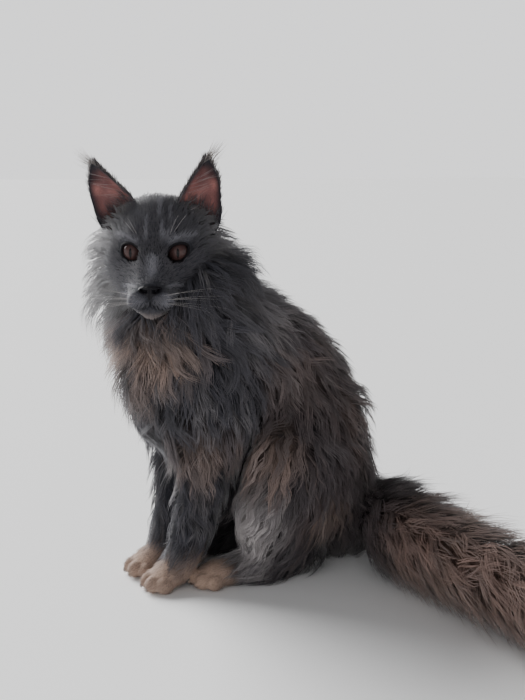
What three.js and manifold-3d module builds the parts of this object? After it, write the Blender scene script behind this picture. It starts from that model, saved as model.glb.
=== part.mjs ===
// A Maine Coon cat of about seven months, sitting upright with its head turned to its left.
// Life size, in millimetres, +Z up. The cat faces -Y and its left side is +X.
// The origin is the middle of the flat on which the rump sits.

import * as THREE from 'three';
import Module from 'manifold-3d';
import { LoftGeometry } from 'three/addons/geometries/LoftGeometry.js';
import { MeshSurfaceSampler } from 'three/addons/math/MeshSurfaceSampler.js';
import { mergeVertices } from 'three/addons/utils/BufferGeometryUtils.js';

const wasm = await Module();
wasm.setup();
const { degToRad, lerp } = THREE.MathUtils;

// Driving dimensions
const GAP = 0.3; // clearance between neighbouring pieces
const CORE_SHARE = 0.5; // part of the coat's depth that is solid under the locks
const PAW_SPREAD = 20.5; // from the middle plane to the middle of a forepaw
const HEAD_CENTRE = new THREE.Vector3(1, -167, 307);
const HEAD_TURN = degToRad(54); // to the cat's left
const HEAD_NOD = degToRad(3);
const EYE_RADIUS = 10.5;
const EYE_PLACE = [20.3, -20, 8.5]; // of the left ball, from the head's centre
const EYE_SPLAY = degToRad(14); // each eye looks this far outward
const LID_THICKNESS = 1.3;
const LID_OPENING = [19, 13.5]; // width and height of the almond between the lids
const LID_SLANT = degToRad(28); // outer corner above the inner one
const NOSE_LEATHER = [19, 9.5]; // width and height
const NOSE_HEIGHT = -19; // from the head's centre
const NOSE_PROUD = 1; // how far the leather stands over the muzzle
const LIP_GROOVE = 0.9; // radius of the groove between the lips
const EAR_LEAN = { left: degToRad(-7), right: degToRad(7) }; // outward from the mean stance
const EAR_WALL = 2.2;
const CROWN_COAT = 0.25; // the coat on the crown, as a part of that on the cheeks
const TOE_RADIUS = 7;
const TOE_ANGLES = [-62, -21, 21, 62].map(degToRad);
const LOCK_WIDTHS = [0.65, 1, 0.75, 0]; // from the root to the tip
const LOCK_RISE = 0.45; // a lock rises fast at first and then lies along the coat
const LOWEST_ROOT = 20;
const FLOOR_CLEAR = 2; // the spine of a lock stays this far above the floor
const BEAD_BLEND = 5; // how softly the forms' coats blend
const LOCK_CANDIDATES = 9000;
const SHORTEST_COAT = 11; // below this the coat lies flat and has no locks
const BELLY_HOLLOW = [30, -20, 110]; // nothing grows out inside this: half width, rear edge, top
const FACE_REAR = -15; // ahead of this, in the head's frame, the coat is short
const EAR_FOOT = 16; // above this, in the head's frame, too
const ROOT_DEPTH = 3; // how far a root is sunk
const LOCK_SEED = 7;
const FINEST = 0.1; // smaller facets than this are merged

// Each station of a form: [x, y, z, half width, half depth, length of coat]
const TRUNK = [
  [0, 10, 28, 46, 34, 10],
  [0, 4, 66, 54, 46, 15],
  [0, -5, 115, 52, 46, 16],
  [0, -22, 162, 50, 50, 16],
  [0, -52, 198, 48, 50, 16],
  [0, -90, 220, 47, 48, 18],
  [1, -125, 222, 46, 48, 24],
  [1, -152, 214, 36, 38, 30],
];
const NECK = [
  [1, -115, 225, 44, 44, 22],
  [1, -134, 256, 38, 38, 22],
  [1, -151, 288, 34, 33, 19],
];
const BIB = [
  [1, -130, 262, 40, 38, 38],
  [1, -138, 230, 44, 40, 48],
  [1, -140, 196, 42, 36, 47],
  [1, -138, 166, 33, 28, 38],
];
const FORELEG = [
  [32, -118, 205, 24, 40, 14],
  [34, -126, 165, 22, 32, 12],
  [30, -134, 128, 18, 23, 11],
  [24, -143, 80, 14.5, 17, 9],
  [PAW_SPREAD, -153, 34, 14, 15, 7],
];
const FOREPAW = [
  [PAW_SPREAD, -153, 33, 13.5, 14.5, 5],
  [PAW_SPREAD, -163, 17, 15.5, 13.5, 2],
  [PAW_SPREAD, -178, 11.5, 17.5, 12.5, 1],
  [PAW_SPREAD, -190, 9, 16, 10, 0.5],
];
const THIGH = [
  [34, 8, 88, 26, 48, 14],
  [44, -26, 92, 28, 52, 15],
  [52, -58, 97, 25, 48, 15],
  [56, -80, 100, 20, 40, 14],
];
const SHANK = [
  [58, -82, 84, 17, 24, 14],
  [54, -66, 56, 16, 22, 12],
  [48, -48, 30, 11, 15, 9],
];
const HINDFOOT = [
  [47, -42, 20, 11, 13, 6],
  [43, -70, 10.5, 12.5, 11, 4],
  [40, -105, 10, 14, 11, 2],
  [38, -132, 11, 16.5, 12, 1],
  [37.5, -147, 9, 15.5, 10, 0.5],
];
const TAIL = [
  [6, 34, 42, 14, 14, 18],
  [34, 42, 40, 12, 12, 24],
  [76, 40, 40, 11, 11, 32],
  [130, 39, 42, 10, 10, 36],
  [200, 42, 42, 9, 9, 36],
  [268, 46, 40, 8, 8, 34],
  [326, 41, 34, 7, 7, 28],
  [368, 28, 26, 5.5, 5.5, 20],
];

// The head's stations from the nape to the nose, in the head's own frame:
// [y, top, bottom, half width of the brow, half width of the jowl, length of coat]
const HEAD = [
  [46, 22, -12, 14, 14, 20],
  [34, 38, -26, 28, 28, 26],
  [14, 48, -36, 36, 37, 33],
  [-6, 49, -42, 36, 41, 21],
  [-20, 41, -43, 31, 39, 8],
  [-31, 27, -44, 23, 34, 3],
  [-41, 8, -44, 15, 27, 2],
  [-50, -7, -43, 11.5, 23, 1.5],
  [-57, -13, -37, 9, 16, 1],
];
// Swells and hollows of the face, each mirrored to the right side: [centre, reach, push]
const FACE_FORMS = [
  [[20.5, -30, 8], 11, [-1, 4.5, 0]],
  [[19, -26, 22], 9, [0, -2, 1.5]],
  [[34, -12, -8], 14, [3, 0, 0]],
  [[13, -54, -31], 10, [2.5, -2.5, 0]],
  [[28, -36, -20], 9, [-3.5, 0, 0]],
  [[0, -52, -45], 8, [0, -1.5, -0.5]],
];
// The line of the mouth seen from the front: across and height, from the head's centre
const PHILTRUM = [[0, -22], [0, -26], [0, -31]];
const LIP_LINE = [[0, -30.5], [7, -33.5], [14, -33.5], [20, -31], [25.5, -27]];

// The left ear's two edges and its bowl's depth, from the root to the tip, in the head's frame
const EAR_ROOT = new THREE.Vector3(35, 4, 36);
const EAR_INNER = [[15, -2, 36], [20, -4, 52], [33, -4, 68], [43, -3, 79], [49.5, -1, 86]];
const EAR_OUTER = [[39, 12, 8], [54, 9, 28], [58, 6, 50], [58, 4, 70], [52, 1, 86.5]];
const EAR_BOWL = [15, 16, 13, 8, 2];
// The left ear's tufts: the width and four points of the spine, first the two of the tip
const TUFT_THICKNESS = 4;
const TUFT_FACING = new THREE.Vector3(0, -1, 0.3);
const EAR_TUFTS = [
  [9, [47, 1, 79], [55, 2, 90], [65, 4, 98], [77, 8, 102]],
  [8, [50, 1, 76], [59, 3, 84], [69, 5, 89], [81, 9, 90]],
  [9, [20, 4, 44], [29, -4, 50], [39, -8, 55], [50, -10, 60]],
  [10, [20, 6, 38], [30, -4, 41], [41, -8, 43], [54, -9, 45]],
  [8, [24, 4, 54], [32, -3, 61], [40, -6, 66], [49, -8, 71]],
];

const COLOURS = {
  dark: 0x43424a,
  back: 0x4d4a50,
  fawn: 0x6f6058,
  paw: 0xb59a85,
  tail: 0x534a48,
  ear: 0x6e4c46,
  eye: 0x6d5a50,
  nose: 0x25232a,
};

const X = new THREE.Vector3(1, 0, 0);
const Y = new THREE.Vector3(0, 1, 0);
const Z = new THREE.Vector3(0, 0, 1);
const headPose = new THREE.Matrix4()
  .makeTranslation(HEAD_CENTRE)
  .multiply(new THREE.Matrix4().makeRotationZ(HEAD_TURN))
  .multiply(new THREE.Matrix4().makeRotationX(HEAD_NOD));

// A closed geometry as a solid, with shared corners merged and flat triangles dropped
function solid(geometry) {
  const bare = new THREE.BufferGeometry();
  bare.setAttribute('position', geometry.getAttribute('position').clone());
  if (geometry.getIndex()) bare.setIndex(geometry.getIndex().clone());
  const merged = mergeVertices(bare, 1e-4);
  const corners = merged.getIndex().array;
  const kept = [];
  for (let i = 0; i < corners.length; i += 3) {
    const [a, b, c] = corners.slice(i, i + 3);
    if (a !== b && b !== c && c !== a) kept.push(a, b, c);
  }
  const vertProperties = Float32Array.from(merged.getAttribute('position').array);
  const triVerts = Uint32Array.from(kept);
  return new wasm.Manifold(new wasm.Mesh({ numProp: 3, vertProperties, triVerts }));
}

// The solid's surface as a three.js geometry
function geometryOf(body) {
  const mesh = body.getMesh();
  const geometry = new THREE.BufferGeometry();
  geometry.setAttribute('position', new THREE.BufferAttribute(mesh.vertProperties, 3));
  geometry.setIndex(new THREE.BufferAttribute(mesh.triVerts, 1));
  return geometry;
}

function join(bodies) {
  return wasm.Manifold.union(bodies);
}

// The largest closed surface of a solid: a loose scrap or a sealed hollow is dropped
function largest(body) {
  return body.decompose().reduce((a, b) => (b.volume() > a.volume() ? b : a));
}

// A convex cell bounded by planes [point, inward normal], each moved inward by an inset
function cell(planes, inset) {
  const block = solid(new THREE.BoxGeometry(1500, 1500, 1500));
  return planes.reduce((kept, [point, normal]) => {
    const unit = new THREE.Vector3(...normal).normalize();
    return kept.trimByPlane(unit.toArray(), unit.dot(new THREE.Vector3(...point)) + inset);
  }, block);
}

// Parts a body with thin cuts round a cell: [what is inside, what is left]
function carve(body, planes) {
  const inside = body.intersect(cell(planes, GAP / 2));
  return [inside, body.subtract(cell(planes, -GAP / 2))];
}

// What lies over a head-framed solid is placed by the head's pose
function onHead(body) {
  return body.transform(headPose.toArray());
}

function mirrored(stations, side) {
  return stations.map(([x, ...rest]) => [side * x, ...rest]);
}

// A smooth curve through three of the columns of a table of stations
function curveThrough(stations, from) {
  const points = stations.map((row) => new THREE.Vector3(...row.slice(from, from + 3)));
  return new THREE.CatmullRomCurve3(points, false, 'catmullrom', 0.5);
}

// The frames along a form: centre, directions along, across and up, and sizes there
function framesOf(stations, side, count) {
  const places = curveThrough(stations, 0);
  const sizes = curveThrough(stations, 3);
  return Array.from({ length: count + 1 }, (_, i) => {
    const centre = places.getPoint(i / count);
    const along = places.getTangent(i / count);
    const across = side.clone().addScaledVector(along, -side.dot(along)).normalize();
    const up = new THREE.Vector3().crossVectors(along, across);
    const [wide, deep, coat] = sizes.getPoint(i / count).toArray();
    return { centre, along, across, up, wide, deep, coat };
  });
}

// An ellipse round a frame, counterclockwise about its direction along
function ring(frame, columns, share, shrink = 1, forward = 0) {
  const coat = share * frame.coat;
  return Array.from({ length: columns }, (_, j) => {
    const angle = (j / columns) * 2 * Math.PI;
    return frame.centre
      .clone()
      .addScaledVector(frame.along, forward)
      .addScaledVector(frame.across, shrink * (frame.wide + coat) * Math.cos(angle))
      .addScaledVector(frame.up, shrink * (frame.deep + coat) * Math.sin(angle));
  });
}

const DOME_ANGLES = [0.42, 0.85].map((v) => (v * Math.PI) / 2);

// A form with elliptic sections along its stations and a dome on each end
function form({ stations, side, domes, columns = 12, perSpan = 1, share = CORE_SHARE }) {
  const frames = framesOf(stations, side, perSpan * (stations.length - 1));
  const first = frames[0];
  const last = frames[frames.length - 1];
  const dome = (frame, depth) =>
    DOME_ANGLES.map((a) => ring(frame, columns, share, Math.cos(a), depth * Math.sin(a)));
  const sections = [
    ...dome(first, -domes[0] - share * first.coat).reverse(),
    ...frames.map((frame) => ring(frame, columns, share)),
    ...dome(last, domes[1] + share * last.coat),
  ];
  return solid(new LoftGeometry(sections, { capStart: true, capEnd: true }));
}

// The furred forms, each with the way its coat lies and the size of its locks
const down = new THREE.Vector3(0, 0, -1);
const backward = (frame) => frame.along.clone().multiplyScalar(-0.8).add(down.clone().multiplyScalar(0.5));
const LOCKS = {
  back: { length: 56, width: 42, thick: 7, wave: 0.12, spacing: 38 },
  ruff: { length: 62, width: 40, thick: 9, wave: 0.15, spacing: 34 },
  haunch: { length: 56, width: 39, thick: 8, wave: 0.35, spacing: 36 },
  leg: { length: 38, width: 27, thick: 6, wave: 0.1, spacing: 27 },
  tail: { length: 74, width: 44, thick: 10, wave: 0.12, spacing: 34 },
  cheek: { length: 38, width: 27, thick: 6, wave: 0.1, spacing: 19 },
};
const sides = [['left', 1], ['right', -1]];
const FURRED = [
  { name: 'trunk', stations: TRUNK, side: X, domes: [34, 26], columns: 16, lie: backward, lock: LOCKS.back },
  { name: 'neck', stations: NECK, side: X, domes: [20, 12], columns: 14, lie: backward, lock: LOCKS.ruff },
  {
    name: 'bib', stations: BIB, side: X, domes: [14, 12], columns: 14,
    lie: () => down.clone(), lock: LOCKS.ruff,
  },
  {
    name: 'tail', stations: TAIL, side: Y, domes: [10, 20], columns: 10,
    lie: (frame) => frame.along.clone().add(down.clone().multiplyScalar(0.25)), lock: LOCKS.tail,
  },
];
for (const [name, side] of sides) {
  FURRED.push(
    {
      name: `foreleg_${name}`, stations: mirrored(FORELEG, side), side: X, domes: [16, 10],
      columns: 10, lie: () => new THREE.Vector3(0, 0.15, -1), lock: LOCKS.leg,
    },
    {
      name: `forepaw_${name}`, stations: mirrored(FOREPAW, side), side: X, domes: [6, 9],
      columns: 10, lie: () => new THREE.Vector3(0, -0.3, -1), lock: LOCKS.leg,
    },
    {
      name: `thigh_${name}`, stations: mirrored(THIGH, side), side: X, domes: [20, 14],
      lie: () => new THREE.Vector3(0, 0.45, -1), lock: LOCKS.haunch,
    },
    {
      name: `shank_${name}`, stations: mirrored(SHANK, side), side: X, domes: [12, 8],
      columns: 10, lie: () => new THREE.Vector3(0, 0.1, -1), lock: LOCKS.haunch,
    },
    {
      name: `hindfoot_${name}`, stations: mirrored(HINDFOOT, side), side: X, domes: [8, 8],
      columns: 10, lie: () => new THREE.Vector3(0, -0.3, -1), lock: LOCKS.leg,
    },
  );
}

// Ellipsoid beads strung along the furred forms: they tell how far a point is from the flesh
const beads = FURRED.flatMap((piece) =>
  framesOf(piece.stations, piece.side, 4 * (piece.stations.length - 1)).map((frame) => ({
    ...frame, lie: piece.lie(frame).normalize(), lock: piece.lock, reach: Math.min(frame.wide, frame.deep),
  })),
);
for (const t of [0.1, 0.2, 0.3, 0.4, 0.5]) {
  const [y, top, bottom] = curveThrough(HEAD, 0).getPoint(t).toArray();
  const [brow, jowl, coat] = curveThrough(HEAD, 3).getPoint(t).toArray();
  const turn = new THREE.Matrix4().extractRotation(headPose);
  beads.push({
    centre: new THREE.Vector3(0, y, (top + bottom) / 2).applyMatrix4(headPose),
    along: Y.clone().applyMatrix4(turn),
    across: X.clone().applyMatrix4(turn),
    up: Z.clone().applyMatrix4(turn),
    wide: (brow + jowl) / 2, deep: (top - bottom) / 2, reach: (brow + jowl) / 2, coat,
    lie: new THREE.Vector3(0, 0.35, -0.95).applyMatrix4(turn), lock: LOCKS.cheek,
  });
}

// How far a point is from the flesh, the way out, and the coat that grows there
function coatAt(point) {
  const offset = new THREE.Vector3();
  const near = beads.map((bead) => {
    offset.subVectors(point, bead.centre);
    const a = offset.dot(bead.across) / bead.wide;
    const b = offset.dot(bead.up) / bead.deep;
    const c = offset.dot(bead.along) / bead.reach;
    const radius = Math.hypot(a, b, c);
    return { bead, a, b, c, height: (radius - 1) * Math.min(bead.wide, bead.deep) };
  });
  const closest = near.reduce((m, n) => (n.height < m.height ? n : m));
  const out = new THREE.Vector3();
  const lie = new THREE.Vector3();
  let coat = 0;
  let total = 0;
  for (const { bead, a, b, c, height } of near) {
    const weight = Math.exp((closest.height - height) / BEAD_BLEND);
    if (weight < 0.02) continue;
    const slope = new THREE.Vector3()
      .addScaledVector(bead.across, a / bead.wide)
      .addScaledVector(bead.up, b / bead.deep)
      .addScaledVector(bead.along, c / bead.reach);
    out.addScaledVector(slope.normalize(), weight);
    lie.addScaledVector(bead.lie, weight);
    coat += weight * bead.coat;
    total += weight;
  }
  return { height: closest.height, out: out.normalize(), lie, coat: coat / total, lock: closest.bead.lock };
}

// A lock: a flattened blade whose root is sunk in the core, and which rises along the coat's
// lie to the full depth of the coat, swaying a little to one side
function lock(root, random) {
  const start = coatAt(root);
  const size = start.lock;
  const scale = lerp(0.85, 1.15, random());
  const length = size.length * scale;
  const sway = (random() < 0.5 ? -1 : 1) * size.wave * lerp(0.6, 1.4, random());
  const steps = 3 * (LOCK_WIDTHS.length - 1);
  const point = root.clone();
  const spine = [];
  let heading = null;
  for (let i = 0; i <= steps; i++) {
    const t = i / steps;
    const here = coatAt(point);
    const base = CORE_SHARE * here.coat - ROOT_DEPTH;
    const height = lerp(base, here.coat, t ** LOCK_RISE);
    point.addScaledVector(here.out, height - here.height);
    point.z = Math.max(point.z, FLOOR_CLEAR);
    const flat = here.lie.clone().addScaledVector(here.out, -here.lie.dot(here.out)).normalize();
    const aside = new THREE.Vector3().crossVectors(here.out, flat);
    flat.addScaledVector(aside, sway * Math.cos(2 * Math.PI * t)).normalize();
    heading = heading ? heading.lerp(flat, 0.6).normalize() : flat;
    if (i % 3 === 0) spine.push({ centre: point.clone(), out: here.out });
    point.addScaledVector(heading, length / steps);
  }
  return blade(spine, size.width * scale, size.thick);
}

// A flattened blade along a spine, with its widest place near the root and a pointed tip
function blade(spine, width, thick) {
  const sections = spine.map(({ centre, out }, i) => {
    const ahead = spine[Math.min(i + 1, spine.length - 1)].centre;
    const behind = spine[Math.max(i - 1, 0)].centre;
    const along = ahead.clone().sub(behind).normalize();
    const across = new THREE.Vector3().crossVectors(out, along).normalize();
    const ridge = new THREE.Vector3().crossVectors(along, across);
    const half = (width * LOCK_WIDTHS[i]) / 2;
    const deep = thick * (LOCK_WIDTHS[i] ? lerp(1, 0.6, i / spine.length) : 0);
    return [[1, -0.4], [0, 0.6], [-1, -0.4]].map(([u, v]) =>
      centre.clone().addScaledVector(across, u * half).addScaledVector(ridge, v * deep));
  });
  return solid(new LoftGeometry(sections, { capStart: true }));
}

// A repeatable stream of random numbers between 0 and 1
function seeded(seed) {
  let state = seed;
  return () => {
    state = (state * 1664525 + 1013904223) % 4294967296;
    return state / 4294967296;
  };
}

// Roots spread evenly over the cores, wherever the coat is long enough for locks
function locksOn(body) {
  const random = seeded(LOCK_SEED);
  const surface = new THREE.Mesh(geometryOf(body), new THREE.MeshBasicMaterial());
  const sampler = new MeshSurfaceSampler(surface);
  sampler.setRandomGenerator(random);
  sampler.build();
  const toHead = headPose.clone().invert();
  const roots = [];
  const point = new THREE.Vector3();
  for (let i = 0; i < LOCK_CANDIDATES; i++) {
    sampler.sample(point);
    const { coat, lock: size } = coatAt(point);
    const [, y, z] = point.clone().applyMatrix4(toHead).toArray();
    const onFace = size === LOCKS.cheek && (y < FACE_REAR || z > EAR_FOOT);
    const [across, rear, top] = BELLY_HOLLOW;
    const hidden = Math.abs(point.x) < across && point.y < rear && point.z < top;
    if (coat < SHORTEST_COAT || point.z < LOWEST_ROOT || onFace || hidden) continue;
    if (roots.every((other) => other.distanceTo(point) > size.spacing)) roots.push(point.clone());
  }
  return roots.map((root) => lock(root, random));
}

// The toes of a paw: balls on an arc round the end of its last station
function toes(stations, side) {
  const [x, y, z, wide] = stations[stations.length - 1];
  return TOE_ANGLES.map((angle) => {
    const ball = new THREE.SphereGeometry(TOE_RADIUS, 8, 5);
    ball.scale(0.95, 1.15, 1.05);
    ball.translate(side * x + (wide - 4) * Math.sin(angle), y + 1 - (wide - 7) * Math.cos(angle), z - 2.4);
    return solid(ball);
  });
}

// The head's rings, narrow at the brow and wide at the jowl, pushed by the face's forms
function headGeometry(share, grow = 0, columns = 26) {
  const outline = curveThrough(HEAD, 0);
  const breadth = curveThrough(HEAD, 3);
  const count = 2 * (HEAD.length - 1);
  const pushed = (point) => {
    const push = new THREE.Vector3();
    for (const [centre, reach, by] of FACE_FORMS) {
      for (const side of centre[0] ? [1, -1] : [1]) {
        const away = point.distanceTo(new THREE.Vector3(side * centre[0], centre[1], centre[2]));
        const weight = Math.exp(-((away / reach) ** 2));
        push.add(new THREE.Vector3(side * by[0], by[1], by[2]).multiplyScalar(weight));
      }
    }
    return point.add(push);
  };
  const section = (t, shrink, forward) => {
    const [y, top, bottom] = outline.getPoint(t).toArray();
    const [brow, jowl, coat] = breadth.getPoint(t).toArray();
    return Array.from({ length: columns }, (_, j) => {
      const angle = (j / columns) * 2 * Math.PI;
      const more = share * coat * lerp(1, CROWN_COAT, Math.max(0, Math.sin(angle))) + grow;
      const width = lerp(jowl, brow, (1 + Math.sin(angle)) / 2) + more;
      const height = (top - bottom) / 2 + more;
      const across = shrink * width * Math.cos(angle);
      const rise = (top + bottom) / 2 + shrink * height * Math.sin(angle);
      return pushed(new THREE.Vector3(across, y - forward, rise));
    });
  };
  const nape = 8 + share * HEAD[0][5] + grow;
  const tip = 3.5 + grow;
  const sections = [
    ...DOME_ANGLES.map((a) => section(0, Math.cos(a), -nape * Math.sin(a))).reverse(),
    ...Array.from({ length: count + 1 }, (_, i) => section(i / count, 1, 0)),
    ...DOME_ANGLES.map((a) => section(1, Math.cos(a), tip * Math.sin(a))),
  ];
  return new LoftGeometry(sections, { capStart: true, capEnd: true });
}

// The point of the face that is seen from the front at a place across and a height
const face = new THREE.Mesh(headGeometry(CORE_SHARE), new THREE.MeshBasicMaterial());
const caster = new THREE.Raycaster();
function onFace([across, height]) {
  caster.set(new THREE.Vector3(across, -120, height), Y);
  return caster.intersectObject(face)[0].point;
}

// A round groove cutter along points of the face
function groove(line) {
  const points = line.map(onFace);
  const stations = points.map((p) => [...p.toArray(), LIP_GROOVE, LIP_GROOVE, 0]);
  return form({ stations, side: Y, domes: [0.6, 0.6], columns: 5, share: 0 });
}

// An eye's place and gaze, in the head's frame
function eyeFrame(side) {
  return new THREE.Matrix4()
    .makeTranslation(side * EYE_PLACE[0], EYE_PLACE[1], EYE_PLACE[2])
    .multiply(new THREE.Matrix4().makeRotationZ(side * EYE_SPLAY));
}

function ball(radius, side) {
  return solid(new THREE.SphereGeometry(radius, 12, 8).applyMatrix4(eyeFrame(side)));
}

// The almond opening between the lids, cut forward from the ball's middle
function lidOpening(side) {
  const [width, height] = LID_OPENING.map((v) => v / 2);
  const almond = new THREE.Shape();
  almond.moveTo(-width, 0);
  almond.quadraticCurveTo(-0.3 * width, 1.45 * height, 0.35 * width, 0.85 * height);
  almond.quadraticCurveTo(0.85 * width, 0.55 * height, width, 0);
  almond.quadraticCurveTo(0.3 * width, -1.45 * height, -0.35 * width, -0.85 * height);
  almond.quadraticCurveTo(-0.85 * width, -0.55 * height, -width, 0);
  const cutter = new THREE.ExtrudeGeometry(almond, { depth: 40, bevelEnabled: false, curveSegments: 4 });
  cutter.rotateZ(LID_SLANT);
  if (side < 0) {
    cutter.scale(-1, 1, 1);
    const corners = cutter.getAttribute('position');
    for (let i = 0; i < corners.count; i += 3) {
      const [x, y, z] = [corners.getX(i), corners.getY(i), corners.getZ(i)];
      corners.setXYZ(i, corners.getX(i + 1), corners.getY(i + 1), corners.getZ(i + 1));
      corners.setXYZ(i + 1, x, y, z);
    }
  }
  cutter.rotateX(Math.PI / 2);
  return solid(cutter.applyMatrix4(eyeFrame(side)));
}

// The nose leather's outline pushed back into the muzzle: a wide top and a narrow foot
function nosePrism(grow) {
  const [width, height] = NOSE_LEATHER.map((v) => v / 2 + grow);
  const outline = new THREE.Shape();
  outline.moveTo(0, -height);
  outline.quadraticCurveTo(0.35 * width, -0.75 * height, 0.5 * width, -0.1 * height);
  outline.quadraticCurveTo(1.05 * width, 0, width, 0.6 * height);
  outline.quadraticCurveTo(0.8 * width, height, 0, height);
  outline.quadraticCurveTo(-0.8 * width, height, -width, 0.6 * height);
  outline.quadraticCurveTo(-1.05 * width, 0, -0.5 * width, -0.1 * height);
  outline.quadraticCurveTo(-0.35 * width, -0.75 * height, 0, -height);
  const prism = new THREE.ExtrudeGeometry(outline, { depth: 30, bevelEnabled: false, curveSegments: 3 });
  prism.rotateX(Math.PI / 2);
  prism.translate(0, -50 + grow, NOSE_HEIGHT);
  return solid(prism);
}

// Where a point of the left ear goes on an ear of either side, leaning from its root
function earPlace(side, lean) {
  const tilt = new THREE.Matrix4()
    .makeTranslation(EAR_ROOT)
    .multiply(new THREE.Matrix4().makeRotationY(lean))
    .multiply(new THREE.Matrix4().makeTranslation(EAR_ROOT.clone().negate()));
  return (point) => {
    point.applyMatrix4(tilt);
    return new THREE.Vector3(side * point.x, point.y, point.z);
  };
}

// The fringe of the tip and the hairs across the bowl, each rooted in the ear's wall
function earTufts(side, lean) {
  const place = earPlace(side, lean);
  const out = place(TUFT_FACING.clone().add(EAR_ROOT)).sub(place(EAR_ROOT.clone()));
  return EAR_TUFTS.map(([width, ...points]) => {
    const spine = points.map((point) => ({ centre: place(new THREE.Vector3(...point)), out }));
    return blade(spine, width, TUFT_THICKNESS);
  });
}

// An ear: a shell round a bowl that opens forward, made of sections from the root to the tip
function ear(side, lean, grow = 0) {
  const inner = curveThrough(EAR_INNER, 0);
  const outer = curveThrough(EAR_OUTER, 0);
  const bowl = curveThrough(EAR_BOWL.map((v) => [v, 0, 0]), 0);
  const count = 7;
  const steps = 5;
  const place = earPlace(side, lean);
  const sections = Array.from({ length: count + 1 }, (_, i) => {
    const t = i / count;
    const low = place(inner.getPoint(t));
    const high = place(outer.getPoint(t));
    const [start, end] = side > 0 ? [high, low] : [low, high];
    const middle = (v) => place(inner.getPoint(v)).add(place(outer.getPoint(v))).multiplyScalar(0.5);
    const along = middle(Math.min(1, t + 0.05)).sub(middle(Math.max(0, t - 0.05))).normalize();
    const across = start.clone().sub(end);
    const rearward = new THREE.Vector3().crossVectors(along, across).normalize();
    const edge = across.clone().normalize().multiplyScalar(grow);
    const depth = bowl.getPoint(t).x;
    const wall = EAR_WALL * lerp(1, 0.55, t) / 2 + grow;
    const reach = (i === 0 ? -grow : 0) + (i === count ? grow : 0);
    const point = (share, offset) =>
      end.clone()
        .addScaledVector(across, share)
        .addScaledVector(edge, 2 * share - 1)
        .addScaledVector(along, reach)
        .addScaledVector(rearward, depth * Math.sin(Math.PI * share) ** 0.8 + offset);
    const shares = Array.from({ length: steps + 1 }, (_, k) => 1 - k / steps);
    return [...shares.map((v) => point(v, wall)), ...shares.reverse().map((v) => point(v, -wall))];
  });
  return solid(new LoftGeometry(sections, { capStart: true, capEnd: true }));
}

// The whole body with its coat, before it is parted
const cores = FURRED.map((piece) => form(piece));
const headCore = onHead(solid(headGeometry(CORE_SHARE)));
const toeBalls = sides.flatMap(([, side]) => [...toes(FOREPAW, side), ...toes(HINDFOOT, side)]);
const flesh = join([...cores, headCore, ...toeBalls]).trimByPlane([0, 0, 1], 0);
const earRooms = sides.flatMap(([name, side]) => [
  ear(side, EAR_LEAN[name], GAP),
  ...earTufts(side, EAR_LEAN[name]),
]);
const locks = join(locksOn(flesh)).subtract(onHead(join(earRooms)));
const whole = join([flesh, locks]).trimByPlane([0, 0, 1], 0);

// The thin cuts, from the tail forward; a plane's normal points into the piece that it bounds
const TAIL_CUT = [[72, 34, 0], [0.87, 0.5, 0]];
const HEAD_CUT = [[2, -167, 270], [0.25, -0.18, 0.95]];
const NECK_CUT = [[0, -118, 228], [0, -0.5, 0.87]];
const CHEST_CUT = [[0, -52, 198], [0, -0.75, 0.66]];
const RUMP_TOP = 104;
const LEG_TOP = 150;
const FOOT_TOP = 27;
const FLANK = 36; // the haunches lie outside this distance from the middle plane

const parts = {};
let rest = whole;
let tail;
[tail, rest] = carve(rest, [TAIL_CUT]);
[parts.tail_base, tail] = carve(tail, [[[130, 0, 0], [-1, 0, 0]]]);
[parts.tail_middle, parts.tail_tip] = carve(tail, [[[235, 0, 0], [-1, 0, 0]]]);
[parts.head, rest] = carve(rest, [HEAD_CUT, [[0, -90, 0], [0, -1, 0]]]);
[parts.neck, rest] = carve(rest, [NECK_CUT]);
for (const [name, side] of sides) {
  const feet = [[0, 0, FOOT_TOP], [0, 0, -1]];
  const kneeSide = [[side * 43, -118, 0], [side * 0.53, 0.85, 0]];
  const elbowSide = [kneeSide[0], kneeSide[1].map((v) => -v)];
  const own = [[0, 0, 0], [side, 0, 0]];
  const toeSide = [[side * 30, -155, 0], [side * 0.68, 0.74, 0]];
  const heelSide = [toeSide[0], toeSide[1].map((v) => -v)];
  [parts[`forepaw_${name}`], rest] = carve(rest, [feet, own, heelSide, [[0, -135, 0], [0, -1, 0]]]);
  [parts[`hindpaw_${name}`], rest] = carve(rest, [
    feet, toeSide, [[side * 20, 0, 0], [side, 0, 0]], [[0, -34, 0], [0, -1, 0]],
  ]);
  [parts[`foreleg_${name}`], rest] = carve(rest, [
    [[0, 0, LEG_TOP], [0, 0, -1]], own, elbowSide, [[0, -95, 0], [0, -1, 0]],
  ]);
  [parts[`haunch_${name}`], rest] = carve(rest, [
    [[0, 0, LEG_TOP], [0, 0, -1]], [[0, 0, FOOT_TOP], [0, 0, 1]], kneeSide,
    [[side * FLANK, 0, 0], [side, 0, 0]], [[0, 34, 0], [0, -1, 0]],
  ]);
}
[parts.chest, rest] = carve(rest, [CHEST_CUT]);
[parts.loin, parts.rump] = carve(rest, [[[0, 0, RUMP_TOP], [0, 0, 1]]]);

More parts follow.
